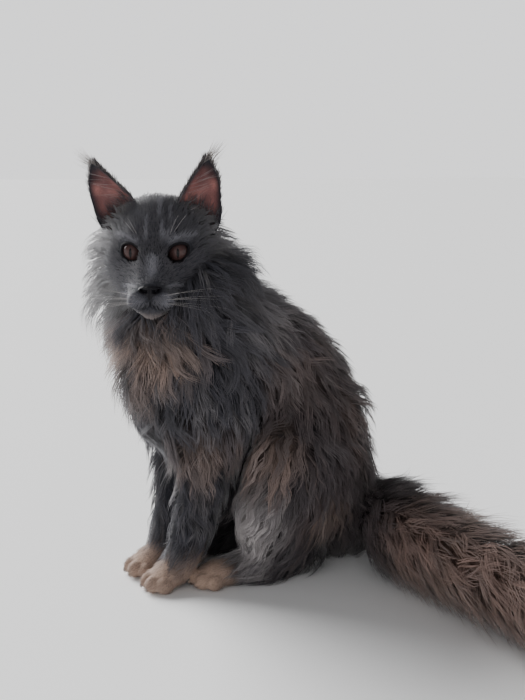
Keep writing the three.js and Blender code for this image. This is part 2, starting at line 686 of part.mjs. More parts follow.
// The head's own pieces and openings
const almonds = join(sides.map(([, side]) => lidOpening(side)));
const sockets = join(sides.map(([, side]) => ball(EYE_RADIUS + GAP, side)));
const lids = join(sides.map(([, side]) => ball(EYE_RADIUS + GAP + LID_THICKNESS, side)));
const mouth = join([groove(PHILTRUM), ...sides.map(([, side]) => groove(mirrored(LIP_LINE, side)))]);
const nostril = (side) => {
  const [x, y, z] = onFace([side * 5.6, NOSE_HEIGHT - 0.6]).toArray();
  return solid(new THREE.SphereGeometry(1, 7, 5).scale(2.3, 3, 1.3).translate(x, y - NOSE_PROUD, z));
};
const noseFront = solid(headGeometry(CORE_SHARE, NOSE_PROUD));
const nostrils = join(sides.map(([, side]) => nostril(side)));
parts.nose = onHead(nosePrism(0).intersect(noseFront).subtract(nostrils));
parts.head = join([parts.head, onHead(lids)])
  .subtract(onHead(join([almonds, sockets, mouth, nosePrism(GAP)])));
const headClear = solid(headGeometry(CORE_SHARE, GAP));
for (const [name, side] of sides) {
  parts[`eye_${name}`] = onHead(ball(EYE_RADIUS, side));
  const tufted = join([ear(side, EAR_LEAN[name]), ...earTufts(side, EAR_LEAN[name])]);
  parts[`ear_${name}`] = onHead(tufted.subtract(headClear));
}

const FINISHES = {
  head: COLOURS.dark, neck: COLOURS.fawn, chest: COLOURS.back, loin: COLOURS.back, rump: COLOURS.fawn,
  foreleg: COLOURS.dark, forepaw: COLOURS.paw, haunch: COLOURS.fawn, hindpaw: COLOURS.paw,
  tail: COLOURS.tail, ear: COLOURS.ear, eye: COLOURS.eye, nose: COLOURS.nose,
};

const cat = new THREE.Group();
for (const [name, body] of Object.entries(parts)) {
  const kind = name.split('_')[0];
  const smooth = kind === 'eye';
  const material = new THREE.MeshStandardMaterial({
    color: FINISHES[kind],
    roughness: smooth ? 0.08 : 0.85,
    metalness: 0,
  });
  const mesh = new THREE.Mesh(geometryOf(largest(body.simplify(FINEST))), material);
  mesh.name = name;
  cat.add(mesh);
}

export default cat;
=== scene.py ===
"""A young long-haired tufted cat, seated, its head turned to its left: a still, life-size model.

The cat faces -Y, its left side is +X and the floor is at height 0. Tables and formulas are in
millimetres, and the meshes in metres. In a form's table each row is a place along the form:
x, y, z, half width, half depth and the depth of the coat there.
"""

from itertools import product

import bpy
import numpy as np
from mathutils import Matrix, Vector


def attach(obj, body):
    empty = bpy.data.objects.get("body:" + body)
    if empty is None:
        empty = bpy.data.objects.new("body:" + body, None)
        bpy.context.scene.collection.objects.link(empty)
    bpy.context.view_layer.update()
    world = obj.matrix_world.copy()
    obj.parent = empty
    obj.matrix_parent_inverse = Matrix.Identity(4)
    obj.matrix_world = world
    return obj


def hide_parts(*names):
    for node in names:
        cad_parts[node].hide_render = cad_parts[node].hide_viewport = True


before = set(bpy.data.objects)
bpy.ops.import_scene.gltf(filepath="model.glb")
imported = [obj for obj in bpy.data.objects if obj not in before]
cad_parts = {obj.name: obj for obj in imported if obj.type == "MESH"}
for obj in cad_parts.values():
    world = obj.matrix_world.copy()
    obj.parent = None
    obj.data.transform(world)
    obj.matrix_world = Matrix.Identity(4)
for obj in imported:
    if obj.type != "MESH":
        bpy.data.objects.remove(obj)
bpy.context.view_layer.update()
chance = np.random.default_rng(7)


# The hide: the skin and flesh of the trunk, neck, bib, legs and tail, under the coat. Each is an
# elliptic form of muscle along its own bones, and all of them grow together, so one smooth mesh
# is laid over the whole group.

MILLIMETRE = 0.001
SIDES = (("left", 1), ("right", -1))
HIDE_SHARE = 0.3  # the hide with its underwool takes up this part of the coat's depth
HIDE_GRAIN, HIDE_SMOOTHING = 2.2, 8
FEET = ["forepaw_left", "forepaw_right", "hindfoot_left", "hindfoot_right"]

TRUNK = [
    [0, 10, 28, 46, 34, 10],
    [0, 4, 66, 54, 46, 15],
    [0, -5, 115, 52, 46, 16],
    [0, -22, 162, 50, 50, 16],
    [0, -52, 198, 48, 50, 16],
    [0, -90, 220, 47, 48, 18],
    [1, -125, 222, 46, 48, 24],
    [1, -152, 214, 36, 38, 30],
]
NECK = [[1, -115, 225, 44, 44, 24], [1, -134, 256, 38, 38, 30], [1, -151, 288, 34, 33, 32]]
BIB = [
    [1, -130, 262, 40, 38, 38],
    [1, -138, 230, 44, 40, 48],
    [1, -140, 196, 42, 36, 47],
    [1, -138, 166, 33, 28, 38],
]
FORELEG = [
    [32, -118, 205, 24, 40, 14],
    [34, -126, 165, 22, 32, 12],
    [30, -134, 128, 18, 23, 11],
    [24, -143, 80, 14.5, 17, 9],
    [20.5, -153, 34, 14, 15, 7],
]
FOREPAW = [
    [20.5, -153, 33, 13.5, 14.5, 5],
    [20.5, -163, 17, 15.5, 13.5, 2],
    [20.5, -176, 11.5, 16.5, 12, 1],
    [20.5, -184, 9, 13.5, 9, 0.5],
]
FLANK = [[34, -58, 146, 20, 24, 14], [37, -26, 148, 23, 28, 15], [32, 8, 140, 24, 30, 15]]
THIGH = [
    [34, 8, 88, 26, 48, 14],
    [44, -26, 92, 28, 52, 15],
    [52, -58, 97, 25, 48, 15],
    [56, -80, 100, 20, 40, 14],
]
SHANK = [[58, -82, 84, 17, 24, 15], [54, -70, 56, 16, 24, 14], [48, -56, 30, 11, 20, 12]]
HINDFOOT = [
    [47, -42, 20, 11, 13, 12],
    [43, -70, 10.5, 12.5, 11, 11],
    [40, -105, 10, 14, 11, 5],
    [38, -130, 11, 16, 12, 1],
    [37.5, -141, 9, 13.5, 9, 0.5],
]
TAIL = [
    [6, 34, 48, 15, 15, 35],
    [34, 42, 46, 13, 13, 41],
    [76, 40, 45, 11, 11, 44],
    [130, 39, 43, 10, 10, 42],
    [200, 42, 42, 9, 9, 39],
    [268, 46, 40, 8, 8, 38],
    [326, 41, 34, 7, 7, 31],
    [368, 28, 26, 5.5, 5.5, 21],
]
# form: table, the side direction, how far its first and last ends round off, and the lie of the
# coat as a share of the direction along it and as fixed directions at its start and end
FORMS = {
    "trunk": (TRUNK, [1, 0, 0], (34, 26), -0.8, 2 * [[0, 0, -0.5]]),
    "neck": (NECK, [1, 0, 0], (20, 12), -0.8, 2 * [[0, 0, -0.5]]),
    "bib": (BIB, [1, 0, 0], (14, 12), 0, 2 * [[0, 0, -1]]),
    "tail": (TAIL, [0, 1, 0], (10, 20), 1, 2 * [[0, 0, -0.25]]),
}
for side_name, side in SIDES:
    for limb, table, domes, lies in (
        ("foreleg", FORELEG, (16, 10), 2 * [[0, 0.15, -1]]),
        ("forepaw", FOREPAW, (6, 7), 2 * [[0, -1, -0.5]]),
        ("flank", FLANK, (14, 16), 2 * [[0, 0.25, -1]]),
        ("thigh", THIGH, (20, 14), [[0, 0.5, -1], [0, -0.35, -1]]),
        ("shank", SHANK, (12, 8), [[0, -0.8, -1], [0, -1.2, -1]]),
        ("hindfoot", HINDFOOT, (8, 7), 2 * [[0, -1, -0.3]]),
    ):
        rows = np.array(table) * [side, 1, 1, 1, 1, 1]
        FORMS[f"{limb}_{side_name}"] = (rows, [1, 0, 0], domes, 0, lies)


def unit(vectors):
    """Each vector divided by its own length."""
    return vectors / np.maximum(np.linalg.norm(vectors, axis=-1, keepdims=True), 1e-9)


def full_turn(count):
    """Angles at even steps round a full turn, without its end."""
    return np.linspace(0, 2 * np.pi, count, endpoint=False)


def run_through(table, places):
    """Rows of a table read at places from 0 to 1.

    Between two rows a cubic passes through both with the slope of the chord between their
    neighbours, and past each end the table goes on as its mirror image.
    """
    rows = np.asarray(table, float)
    rows = np.vstack([2 * rows[0] - rows[1], rows, 2 * rows[-1] - rows[-2]])
    spans = len(rows) - 3
    whole = np.minimum((np.asarray(places) * spans).astype(int), spans - 1)
    part = (np.asarray(places) * spans - whole)[..., None]
    before, start, end, after = (rows[whole + k] for k in range(4))
    bend = 2 * before - 5 * start + 4 * end - after
    twist = 3 * start - before - 3 * end + after
    return start + 0.5 * part * (end - before + part * (bend + part * twist))


def stations_along(table, side, places):
    """Centre, axes (across, up, along) and sizes (half width, half depth, coat) at each place.

    Along is the slope of the centre line, across is the side direction squared to it, and up is
    along crossed with across.
    """
    rows = run_through(table, places)
    ahead, behind = (run_through(table, np.clip(places + step, 0, 1)) for step in (1e-3, -1e-3))
    along = unit((ahead - behind)[..., :3])
    across = unit(side - along * (along @ side)[..., None])
    axes = np.stack([across, np.cross(along, across), along], -1)
    return rows[..., :3], axes, rows[..., 3:]


def rounded_ends(rows, steps):
    """Places along a form from 0 to 1, with steps that round it off past each end.

    With them come each ring's shrink and how far it lies past the end: the cosine and the sine
    of a quarter turn, less than 0 past the first end.
    """
    quarter = np.linspace(0, np.pi / 2, steps + 1)[1:]
    turn = np.concatenate([-quarter[::-1], np.zeros(rows), quarter])
    return np.pad(np.linspace(0, 1, rows), steps, mode="edge"), np.cos(turn), np.sin(turn)


def form_surface(table, side, domes, share, rows=40, columns=40):
    """A closed form: ellipses along the centre line, with rounded ends.

    A ring is centre + across * width * cos + up * depth * sin, where both half sizes are grown by
    a share of the coat, and so is the reach of the rounded ends.
    """
    places, shrink, past = rounded_ends(rows, 6)
    centre, axes, size = stations_along(table, side, places)
    grown = size[:, :2] + share * size[:, 2:]
    first, last = domes[0] + share * size[0, 2], domes[1] + share * size[-1, 2]
    centre = centre + axes[..., 2] * (np.where(past < 0, first, last) * past)[:, None]
    turn = full_turn(columns)
    wide = (shrink * grown[:, 0])[:, None] * np.cos(turn)
    deep = (shrink * grown[:, 1])[:, None] * np.sin(turn)
    across, up = axes[:, None, :, 0], axes[:, None, :, 1]
    return centre[:, None] + wide[..., None] * across + deep[..., None] * up


def ring_faces(rows, columns):
    """Four corner numbers for each face of a grid that closes on itself across its columns."""
    i, j = np.meshgrid(np.arange(rows - 1), np.arange(columns), indexing="ij")
    k = (j + 1) % columns
    corners = [i * columns + j, i * columns + k, (i + 1) * columns + k, (i + 1) * columns + j]
    return np.stack(corners, -1).reshape(-1, 4)


def halved(faces):
    """Each face of four corners as two triangles."""
    return np.vstack([faces[:, [0, 1, 2]], faces[:, [0, 2, 3]]])


def welded(points, faces, tint):
    """One of each group of points at one place, the triangles between these, and their tint."""
    _, first, same = np.unique(np.round(points, 3), axis=0, return_index=True, return_inverse=True)
    corners = same.ravel()[halved(faces)]
    a, b, c = corners.T
    tint = tint if tint is None else tint[first]
    return points[first], corners[(a != b) & (b != c) & (c != a)], tint


def shown(name, data):
    """A new object of the scene, with this mesh, lamp or camera."""
    thing = bpy.data.objects.new(name, data)
    bpy.context.collection.objects.link(thing)
    return thing


def make_piece(name, points, faces, material=None, tint=None, bake=None, weld=False):
    """A smooth mesh from points in millimetres and faces with equally many corners.

    tint is a colour for each point, and bake a place on the coat's map for each point. weld
    merges points at one place, as at a pole.
    """
    if weld:
        points, faces, tint = welded(points, faces, tint)
    mesh = bpy.data.meshes.new(name)
    mesh.vertices.add(len(points))
    mesh.vertices.foreach_set("co", (points * MILLIMETRE).astype(np.float32).ravel())
    mesh.loops.add(faces.size)
    mesh.loops.foreach_set("vertex_index", faces.astype(np.int32).ravel())
    mesh.polygons.add(len(faces))
    starts = np.arange(0, faces.size, faces.shape[1], dtype=np.int32)
    mesh.polygons.foreach_set("loop_start", starts)
    mesh.update(calc_edges=True)
    mesh.shade_smooth()
    if tint is not None:
        paint_points(mesh, tint)
    if bake is not None:
        corners = bake[faces.ravel()].astype(np.float32)
        mesh.uv_layers.new(name="OFBake").data.foreach_set("uv", corners.ravel())
    if material:
        mesh.materials.append(material)
    return shown(name, mesh)


def paint_points(mesh, tint):
    """Keeps a colour at each point as the mesh's attribute called tint."""
    colours = np.ones((len(tint), 4), np.float32)
    colours[:, :3] = tint
    layer = mesh.color_attributes.new("tint", "FLOAT_COLOR", "POINT")
    layer.data.foreach_set("color", colours.ravel())


def points_of(mesh):
    """The mesh's points in millimetres."""
    flat = np.empty(3 * len(mesh.vertices), np.float32)
    mesh.vertices.foreach_get("co", flat)
    return flat.reshape(-1, 3).astype(float) / MILLIMETRE


def triangles_of(mesh):
    """The corner numbers of the mesh's triangles."""
    mesh.calc_loop_triangles()
    flat = np.empty(3 * len(mesh.loop_triangles), np.int32)
    mesh.loop_triangles.foreach_get("vertices", flat)
    return flat.reshape(-1, 3)


def one_skin(surfaces, grain, smoothing):
    """One closed mesh over all the surfaces, evened out and pressed flat where it rests."""
    points, faces, start = [], [], 0
    for surface in surfaces:
        rows, columns = surface.shape[:2]
        points.append(surface.reshape(-1, 3))
        faces.append(ring_faces(rows, columns) + start)
        start += rows * columns
    raw = make_piece("raw", np.vstack(points), np.vstack(faces))
    remesh = raw.modifiers.new("over all", "REMESH")
    remesh.mode, remesh.voxel_size = "VOXEL", grain * MILLIMETRE
    even = raw.modifiers.new("even out", "SMOOTH")
    even.factor, even.iterations = 0.5, smoothing
    mesh = bpy.data.meshes.new_from_object(
        raw.evaluated_get(bpy.context.evaluated_depsgraph_get())
    )
    bpy.data.objects.remove(raw)
    skin = points_of(mesh)
    skin[:, 2] = np.maximum(skin[:, 2], 0)
    mesh.vertices.foreach_set("co", (skin * MILLIMETRE).astype(np.float32).ravel())
    mesh.shade_smooth()
    return mesh


hide_mesh = one_skin([
    form_surface(table, side, domes, HIDE_SHARE)
    for name, (table, side, domes, *_) in FORMS.items() if name not in FEET
], HIDE_GRAIN, HIDE_SMOOTHING)


# The markings: a blue-cream coat, slate grey with fawn and cream mottled through it. The bib, the
# haunches and the tail carry most of the fawn, the feet are cream, and the face is the darkest.
# The hide and every tuft take their colour from this one pattern, which also holds painted
# shade under the haunches and the belly.


def paint(code):
    """A colour written as six hexadecimal digits, as the light it returns."""
    shades = np.array([int(code[k:k + 2], 16) for k in (0, 2, 4)]) / 255
    return np.where(shades < 0.04045, shades / 12.92, ((shades + 0.055) / 1.055) ** 2.4)


def both_sides(places):
    """The same places on both sides of the cat."""
    return [[(side * x, y, z), *rest] for (x, y, z), *rest in places for _, side in SIDES]


SLATE = paint("2c2c33")
SLATE_BACK = paint("382f30")
FAWN = paint("7f6a5f")
CREAM = paint("b89c8a")
ASH = paint("a39d9c")
TAIL_BROWN = paint("866d63")
TAIL_BAND = 62  # from one fawn band of the tail to the next
# patches of each colour: centre, reach, strength
FAWN_PATCHES = [
    [(28, -170, 240), 27, 0.8],
    [(16, -190, 200), 22, 0.5],
    [(-14, -177, 240), 30, 0.8],
    [(66, -92, 134), 36, 0.65],
    [(-66, -92, 134), 36, 1],
    [(78, -40, 70), 30, 0.5],
    [(-78, -40, 70), 30, 0.7],
    [(30, -148, 132), 34, 0.6],
    [(74, -30, 60), 34, 0.8],
    [(-74, -20, 60), 34, 0.8],
    [(30, 40, 150), 60, 0.4],
    [(40, -60, 210), 50, 0.25],
]
CREAM_PATCHES = [
    *both_sides([[(20.5, -180, 6), 26, 1], [(38, -140, 6), 29, 1]]),
    [(28, -170, 240), 24, 0.4],
    [(-14, -177, 240), 26, 0.4],
]
ASH_PATCHES = both_sides([
    [(62, -100, 80), 30, 1],
    [(54, -92, 52), 26, 1],
    [(34, -95, 262), 40, 0.25],
])
# painted shade: under the haunches by the hind feet, and under the belly between the legs
PAINTED_SHADE_PATCHES = [*both_sides([[(50, -36, 16), 36, 0.8]]), [(0, -70, 90), 50, 0.5]]


def mottle(points, size, seed):
    """Smooth random patches from 0 to 1: numbers at the corners of cubes, eased between them."""
    place = points / size
    base = np.floor(place)
    part = place - base
    part = part * part * (3 - 2 * part)
    total = np.zeros(len(points))
    for corner in product((0, 1), repeat=3):
        mix = np.sin((base + corner) @ np.array([127.1, 311.7, 74.7]) + seed) * 43758.5453
        total += (mix - np.floor(mix)) * np.prod(np.where(corner, part, 1 - part), axis=1)
    return total


def step_up(value, low, high):
    """Rises smoothly from 0 at low to 1 at high."""
    part = np.clip((value - low) / (high - low), 0, 1)
    return part * part * (3 - 2 * part)


def bell(value, width):
    """The bell curve: 1 at 0, and fading as the square of the value over the width grows."""
    return np.exp(-((value / width) ** 2))


def patches(points, places):
    """The strongest of several round patches, each flat inside its reach and fading past it.

    A patch is its strength times exp(-(distance / reach) ** 4).
    """
    share = np.zeros(len(points))
    for centre, reach, strength in places:
        away = np.linalg.norm(points - np.array(centre), axis=1) / reach
        share = np.maximum(share, strength * np.exp(-(away**4)))
    return share


def mixed(first, second, share):
    """From the first colour at share 0 to the second at share 1."""
    return first + (second - first) * np.clip(share, 0, 1)[:, None]


def marking_and_shade(points):
    """The coat's colour at points of the hide.

    Slate turns browner over the back and brown along the tail. Fawn patches are added where the
    mottling is high, and bands of fawn cross the tail. Streaks of ash and patches of cream
    follow, and patches of painted shade come last, under the haunches by the hind feet and under
    the belly between the legs.
    """
    broad, fine = mottle(points, 26, 1), mottle(points, 9, 2)
    streak = mottle(points * [1, 1, 0.35], 5, 3)
    tint = mixed(SLATE, SLATE_BACK, step_up(points[:, 1], -120, 0))
    tint = mixed(tint, TAIL_BROWN, step_up(points[:, 0], 70, 150))
    broken = step_up(0.55 * broad + 0.3 * fine + 0.15 * streak, 0.3, 0.62)
    band = 0.5 + 0.5 * np.cos(2 * np.pi * points[:, 0] / TAIL_BAND + 3 * broad)
    on_tail = step_up(points[:, 0], 95, 140)
    fawn = np.maximum(patches(points, FAWN_PATCHES), 0.9 * on_tail * band)
    tint = mixed(tint, FAWN, fawn * broken)
    ash = patches(points, ASH_PATCHES) * (0.45 + 0.55 * step_up(streak, 0.3, 0.6))
    tint = mixed(tint, ASH, np.maximum(ash, 0.2 * step_up(streak, 0.55, 0.9)))
    tint = mixed(tint, CREAM, patches(points, CREAM_PATCHES) * (0.7 + 0.3 * fine))
    return mixed(tint, 0.5 * SLATE, patches(points, PAINTED_SHADE_PATCHES))


SHADER = "Principled BSDF"


def new_material(name, settings):
    """A material whose shader has these settings."""
    material = bpy.data.materials.new(name)
    material.use_nodes = True
    for socket, value in settings.items():
        material.node_tree.nodes[SHADER].inputs[socket].default_value = value
    return material


def wired(owner, kinds, links):
    """Adds nodes, each a kind with the values of its inputs, and links outputs to inputs."""
    nodes = owner.node_tree.nodes
    for name, (kind, values) in kinds.items():
        node = nodes.new(f"ShaderNode{kind}")
        node.name = name
        for socket, value in values.items():
            node.inputs[socket].default_value = value
    for source, output, target, socket in links:
        owner.node_tree.links.new(nodes[source].outputs[output], nodes[target].inputs[socket])
    return nodes


def hair_material(name, roughness, sheen, contrast, gloss=0.25):
    """The colour kept at the points, broken up hair by hair, with a soft sheen."""
    material = new_material(name, {
        "Roughness": roughness, "Specular IOR Level": gloss,
        "Sheen Weight": sheen, "Sheen Roughness": 0.45,
    })
    limits = {"To Min": 1 - contrast, "To Max": 1 + contrast}
    nodes = wired(material, {
        "tint": ("Attribute", {}),
        "place": ("TexCoord", {}),
        "hairs": ("TexNoise", {"Scale": 900, "Detail": 2}),
        "spread": ("MapRange", {"From Min": 0.3, "From Max": 0.7, **limits}),
        "times": ("VectorMath", {}),
        "bump": ("Bump", {"Distance": 0.0005, "Strength": 0.4}),
    }, [
        ("place", "Object", "hairs", "Vector"),
        ("hairs", "Fac", "spread", "Value"),
        ("tint", "Color", "times", 0),
        ("spread", "Result", "times", 1),
        ("times", "Vector", SHADER, "Base Color"),
        ("hairs", "Fac", "bump", "Height"),
        ("bump", "Normal", SHADER, "Normal"),
    ])
    nodes["tint"].attribute_name = "tint"
    nodes["times"].operation = "MULTIPLY"
    return material


COAT_DEPTH_SHADE = 0.62  # painted shade deep in the coat: the hide and the roots of the hair are darker than the tips
SKIN_SHADE = 0.8  # painted shade too on the bare skin of the paws and head, under their fur
hide_material = hair_material("hide with underwool", 0.9, 0.1, 0.35)


def skin_piece(name, mesh, shade):
    """A skin's mesh as a piece, in its markings times a shade."""
    paint_points(mesh, shade * marking_and_shade(points_of(mesh)))
    mesh.materials.append(hide_material)
    return shown(name, mesh)


# the hide is darkened by painted shade, as if deep in the coat
hide = skin_piece("hide", hide_mesh, COAT_DEPTH_SHADE)
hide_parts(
    "neck", "chest", "loin", "rump", "foreleg_left", "foreleg_right", "haunch_left",
    "haunch_right", "tail_base", "tail_middle", "tail_tip",
)
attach(hide, "root")


# The paws: compact, rounded and cream, each with four toes parted by clefts. They are one finer
# skin, which runs up under the fur of the legs.

PAW_GRAIN, PAW_SMOOTHING = 1.1, 3
TOE_RADII = np.array([6.6, 9, 8.2])
TOE_PLACES = np.array([[-5.4, -5, -1], [5.4, -5, -1], [-12.6, 3, -1.4], [12.6, 3, -1.4]])


def ball_surface(centre, radii, rows=14, columns=18):
    """A ball: its rings shrink by the sine of the angle from its foot, and rise by its cosine."""
    down = np.linspace(0, np.pi, rows)[:, None]
    turn = full_turn(columns)
    wide = np.sin(down)
    shape = np.broadcast_arrays(wide * np.cos(turn), wide * np.sin(turn), -np.cos(down))
    return centre + radii * np.stack(shape, -1)


paw_surfaces = []
for name in FEET:
    table, side, domes, *_ = FORMS[name]
    toes = np.array(table[-1])[:3] + TOE_PLACES
    paw_surfaces += [form_surface(table, side, domes, HIDE_SHARE)]
    paw_surfaces += [ball_surface(toe, TOE_RADII) for toe in toes]
paw_mesh = one_skin(paw_surfaces, PAW_GRAIN, PAW_SMOOTHING)
paws = skin_piece("paws", paw_mesh, SKIN_SHADE)
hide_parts("forepaw_left", "forepaw_right", "hindpaw_left", "hindpaw_right")
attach(paws, "root")


# The head: a broad skull with a short square muzzle, high cheekbones and a firm chin, covered
# with short fur that grows long on the cheeks and nape. Its skin is one closed surface of rings
# from the nape to the nose, pressed in for the eyes, nostrils and mouth.

HEAD_CENTRE = np.array([1, -167, 307])
HEAD_TURN, HEAD_NOD = np.radians(58), np.radians(3)
# from the nape to the nose: y, top, bottom, half width of the brow and of the jowl, coat
HEAD = [
    [46, 22, -12, 14, 14, 20],
    [34, 38, -26, 28, 28, 26],
    [14, 48, -36, 36, 37, 33],
    [-6, 49, -42, 36, 41, 21],
    [-20, 41, -43, 31, 39, 9],
    [-31, 27, -44, 23, 34, 4.5],
    [-41, 8, -44, 15, 27, 2.5],
    [-50, -7, -43, 11.5, 23, 1.5],
    [-57, -13, -37, 9, 16, 1],
]
NAPE_DOME, NOSE_DOME = 8, 3.5
CROWN_COAT = 0.42  # the coat on the crown, as a part of that on the cheeks
JAW_COAT = 1.6  # how much deeper the coat is along the bottom of the jaw
# swells and hollows, mirrored where they are off the middle: centre, reach, push
FACE_FORMS = [
    [(21, -31, 7), 11, (0, 5, 0)],
    [(18, -27, 23), 9, (0, -2.5, 1)],
    [(9, -38, 6), 6, (2, -1, 0)],
    [(15, -36, 2), 6, (0, 2.5, 0)],
    [(8, -51, -9), 6, (2.5, 0.5, 1)],
    [(34, -14, -8), 14, (3, -1, 0)],
    [(12, -56, -28), 8.5, (4.5, -4, 0)],
    [(27, -40, -24), 8, (-1.5, 0.5, 0)],
    [(0, -57, -20), 7, (0, -1.5, 0)],
    [(0, -53, -42), 8, (0, -3, -1)],
    [(15, -50, -42), 6, (-1.5, 1.5, 1)],
]
COOL_ASH = paint("93939b")
CHIN_PALE = ASH + 0.4 * (CREAM - ASH)
# lines of the face, seen from the front
PAD_LINES = [[(14, -17), (18, -17), (24, -19)], [(12, -23), (17, -23), (25, -26)]]
BROW_LINE = [(14, 18), (22, 21), (31, 20)]  # pale hair over the eye
EYE_LINE = [(30, 12), (37, 10), (42, 4)]  # a dark streak from the eye's outer corner
LIP_LINE = [(0, -30.5), (5, -33), (10, -35), (16, -34)]
PHILTRUM = [(0, -24), (0, -27), (0, -31)]
NOSTRIL_LINE = [(3.2, -19.9), (5, -20.4), (7.4, -19.1)]
GROOVES = [(LIP_LINE, 1.8, 1.1), (PHILTRUM, 1.2, 0.9), (NOSTRIL_LINE, 4.8, 1.7)]  # depth, width
EYE_RADIUS = 10.5
EYE_PLACE = np.array([19.4, -20, 8.5])
EYE_SPLAY = np.radians(8)
EYE_OPENING = np.array([19.4, 13.6])
LID_SLANT = np.radians(32)
LID_THICK, LID_BLEND = 1.3, 1.2


def turned(angle, axis):
    """The rotation by an angle about the x, y or z axis, as a matrix."""
    i, j = ((1, 2), (2, 0), (0, 1))["xyz".index(axis)]
    matrix = np.eye(3)
    matrix[i, i] = matrix[j, j] = np.cos(angle)
    matrix[i, j], matrix[j, i] = -np.sin(angle), np.sin(angle)
    return matrix


HEAD_POSE = turned(HEAD_TURN, "z") @ turned(HEAD_NOD, "x")


def on_head(points):
    """From the head's own frame to the cat's."""
    return points @ HEAD_POSE.T + HEAD_CENTRE


def pushed(points, forms):
    """Adds each form's push, fading as the bell curve of the distance from its centre."""
    total = np.zeros_like(points)
    for centre, reach, push in forms:
        for side in (1, -1) if centre[0] else (1,):
            away = np.linalg.norm(points - np.array(centre) * [side, 1, 1], axis=-1)
            total += bell(away, reach)[..., None] * np.array(push) * [side, 1, 1]
    return points + total


def head_surface(share, rows=150, columns=200):
    """The head's rings: x by the cosine and z by the sine of the turn.

    The half width goes from the jowl's at the bottom to the brow's at the top. A share of the
    coat grows both, less so over the crown. Returns the points, and the coat's depth at each.
    """
    places, shrink, past = rounded_ends(rows, 11)
    y, top, bottom, brow, jowl, coat = run_through(HEAD, places).T[..., None]
    turn = full_turn(columns)
    rise = np.sin(turn)
    depth = coat * (1 + (CROWN_COAT - 1) * np.maximum(0, rise))
    width = jowl + (brow - jowl) * (1 + rise) / 2 + share * depth
    height = (top - bottom) / 2 + share * depth
    jaw = JAW_COAT * np.maximum(0, -rise) ** 2 * step_up(-y, -30, 20) * step_up(y, -52, -40)
    x = shrink[:, None] * width * np.cos(turn)
    z = (top + bottom) / 2 + shrink[:, None] * height * rise
    beyond = np.where(past < 0, NAPE_DOME + share * HEAD[0][5], NOSE_DOME) * past
    points = np.stack(np.broadcast_arrays(x, y - beyond[:, None], z), -1)
    return pushed(points, FACE_FORMS), np.broadcast_to(depth * (1 + jaw), x.shape)


def in_eye(points, side):
    """Points of the head in the eye's own frame, mirrored so that outward is +x."""
    return (points - EYE_PLACE * [side, 1, 1]) @ turned(side * EYE_SPLAY, "z") * [side, 1, 1]


def from_eye(points, side):
    """Back from the eye's own frame to the head's."""
    return (points * [side, 1, 1]) @ turned(side * EYE_SPLAY, "z").T + EYE_PLACE * [side, 1, 1]


def almond_measure(across, up):
    """1 on the edge of the almond between the lids, less inside and more outside it."""
    along = across * np.cos(LID_SLANT) + up * np.sin(LID_SLANT)
    over = up * np.cos(LID_SLANT) - across * np.sin(LID_SLANT)
    return np.hypot(along / (EYE_OPENING[0] / 2), over / (EYE_OPENING[1] / 2))


def moved_at_eyes(points, depth_at):
    """The points moved fore and aft in each eye's frame, where depth_at says that they are."""
    for side in (1, -1):
        place = in_eye(points, side)
        place[..., 1], moved = depth_at(*np.moveaxis(place, -1, 0))
        points = np.where(moved[..., None], from_eye(place, side), points)
    return points


def over_ball(x, y, z):
    """The face's depth where it is laid over the eyeball, and where that is.

    It is blended with that of a ball a lid's thickness larger, to the nearer of the two, as the
    logarithm of their exponentials' sum.
    """
    ball = -np.sqrt(np.maximum((EYE_RADIUS + LID_THICK) ** 2 - x**2 - z**2, 0))
    reach = step_up(EYE_RADIUS + 3 - np.hypot(x, z), 0, 3) * (y < 0)
    nearer = -LID_BLEND * np.logaddexp(-y / LID_BLEND, -ball / LID_BLEND)
    return y + reach * (nearer - y), reach > 0


def in_socket(x, y, z):
    """The head's depth where it is sunk behind the eyeball inside the almond, and where that is."""
    inside = (1 - step_up(almond_measure(x, z), 1.05, 1.2)) * (y < 0)
    back = -np.sqrt(np.maximum((EYE_RADIUS - 2) ** 2 - x**2 - z**2, 4))
    return y + (np.maximum(back, y) - y) * inside, inside > 0


def line_distance(across, up, line):
    """The distance from a broken line seen from the front, by its nearest point."""
    nearest = np.full(across.shape, 1e9)
    for start, end in zip(line[:-1], line[1:]):
        start, step = np.array(start, float), np.subtract(end, start)
        part = (across - start[0]) * step[0] + (up - start[1]) * step[1]
        part = np.clip(part / (step @ step), 0, 1)
        away = np.hypot(across - start[0] - part * step[0], up - start[1] - part * step[1])
        nearest = np.minimum(nearest, away)
    return nearest


def press_in(points):
    """Sinks the sockets and then the grooves, each as a bell curve of the distance from it."""
    points = moved_at_eyes(points, in_socket).copy()
    x, y, z = np.moveaxis(points, -1, 0)
    sink = sum(deep * bell(line_distance(np.abs(x), z, line), wide) for line, deep, wide in GROOVES)
    points[..., 1] += step_up(-y, 26, 36) * sink
    return points


head_points, head_coat = head_surface(HIDE_SHARE)
face_points = moved_at_eyes(head_points, over_ball)
head_points = press_in(face_points)
HEAD_SHAPE = head_points.shape[:2]


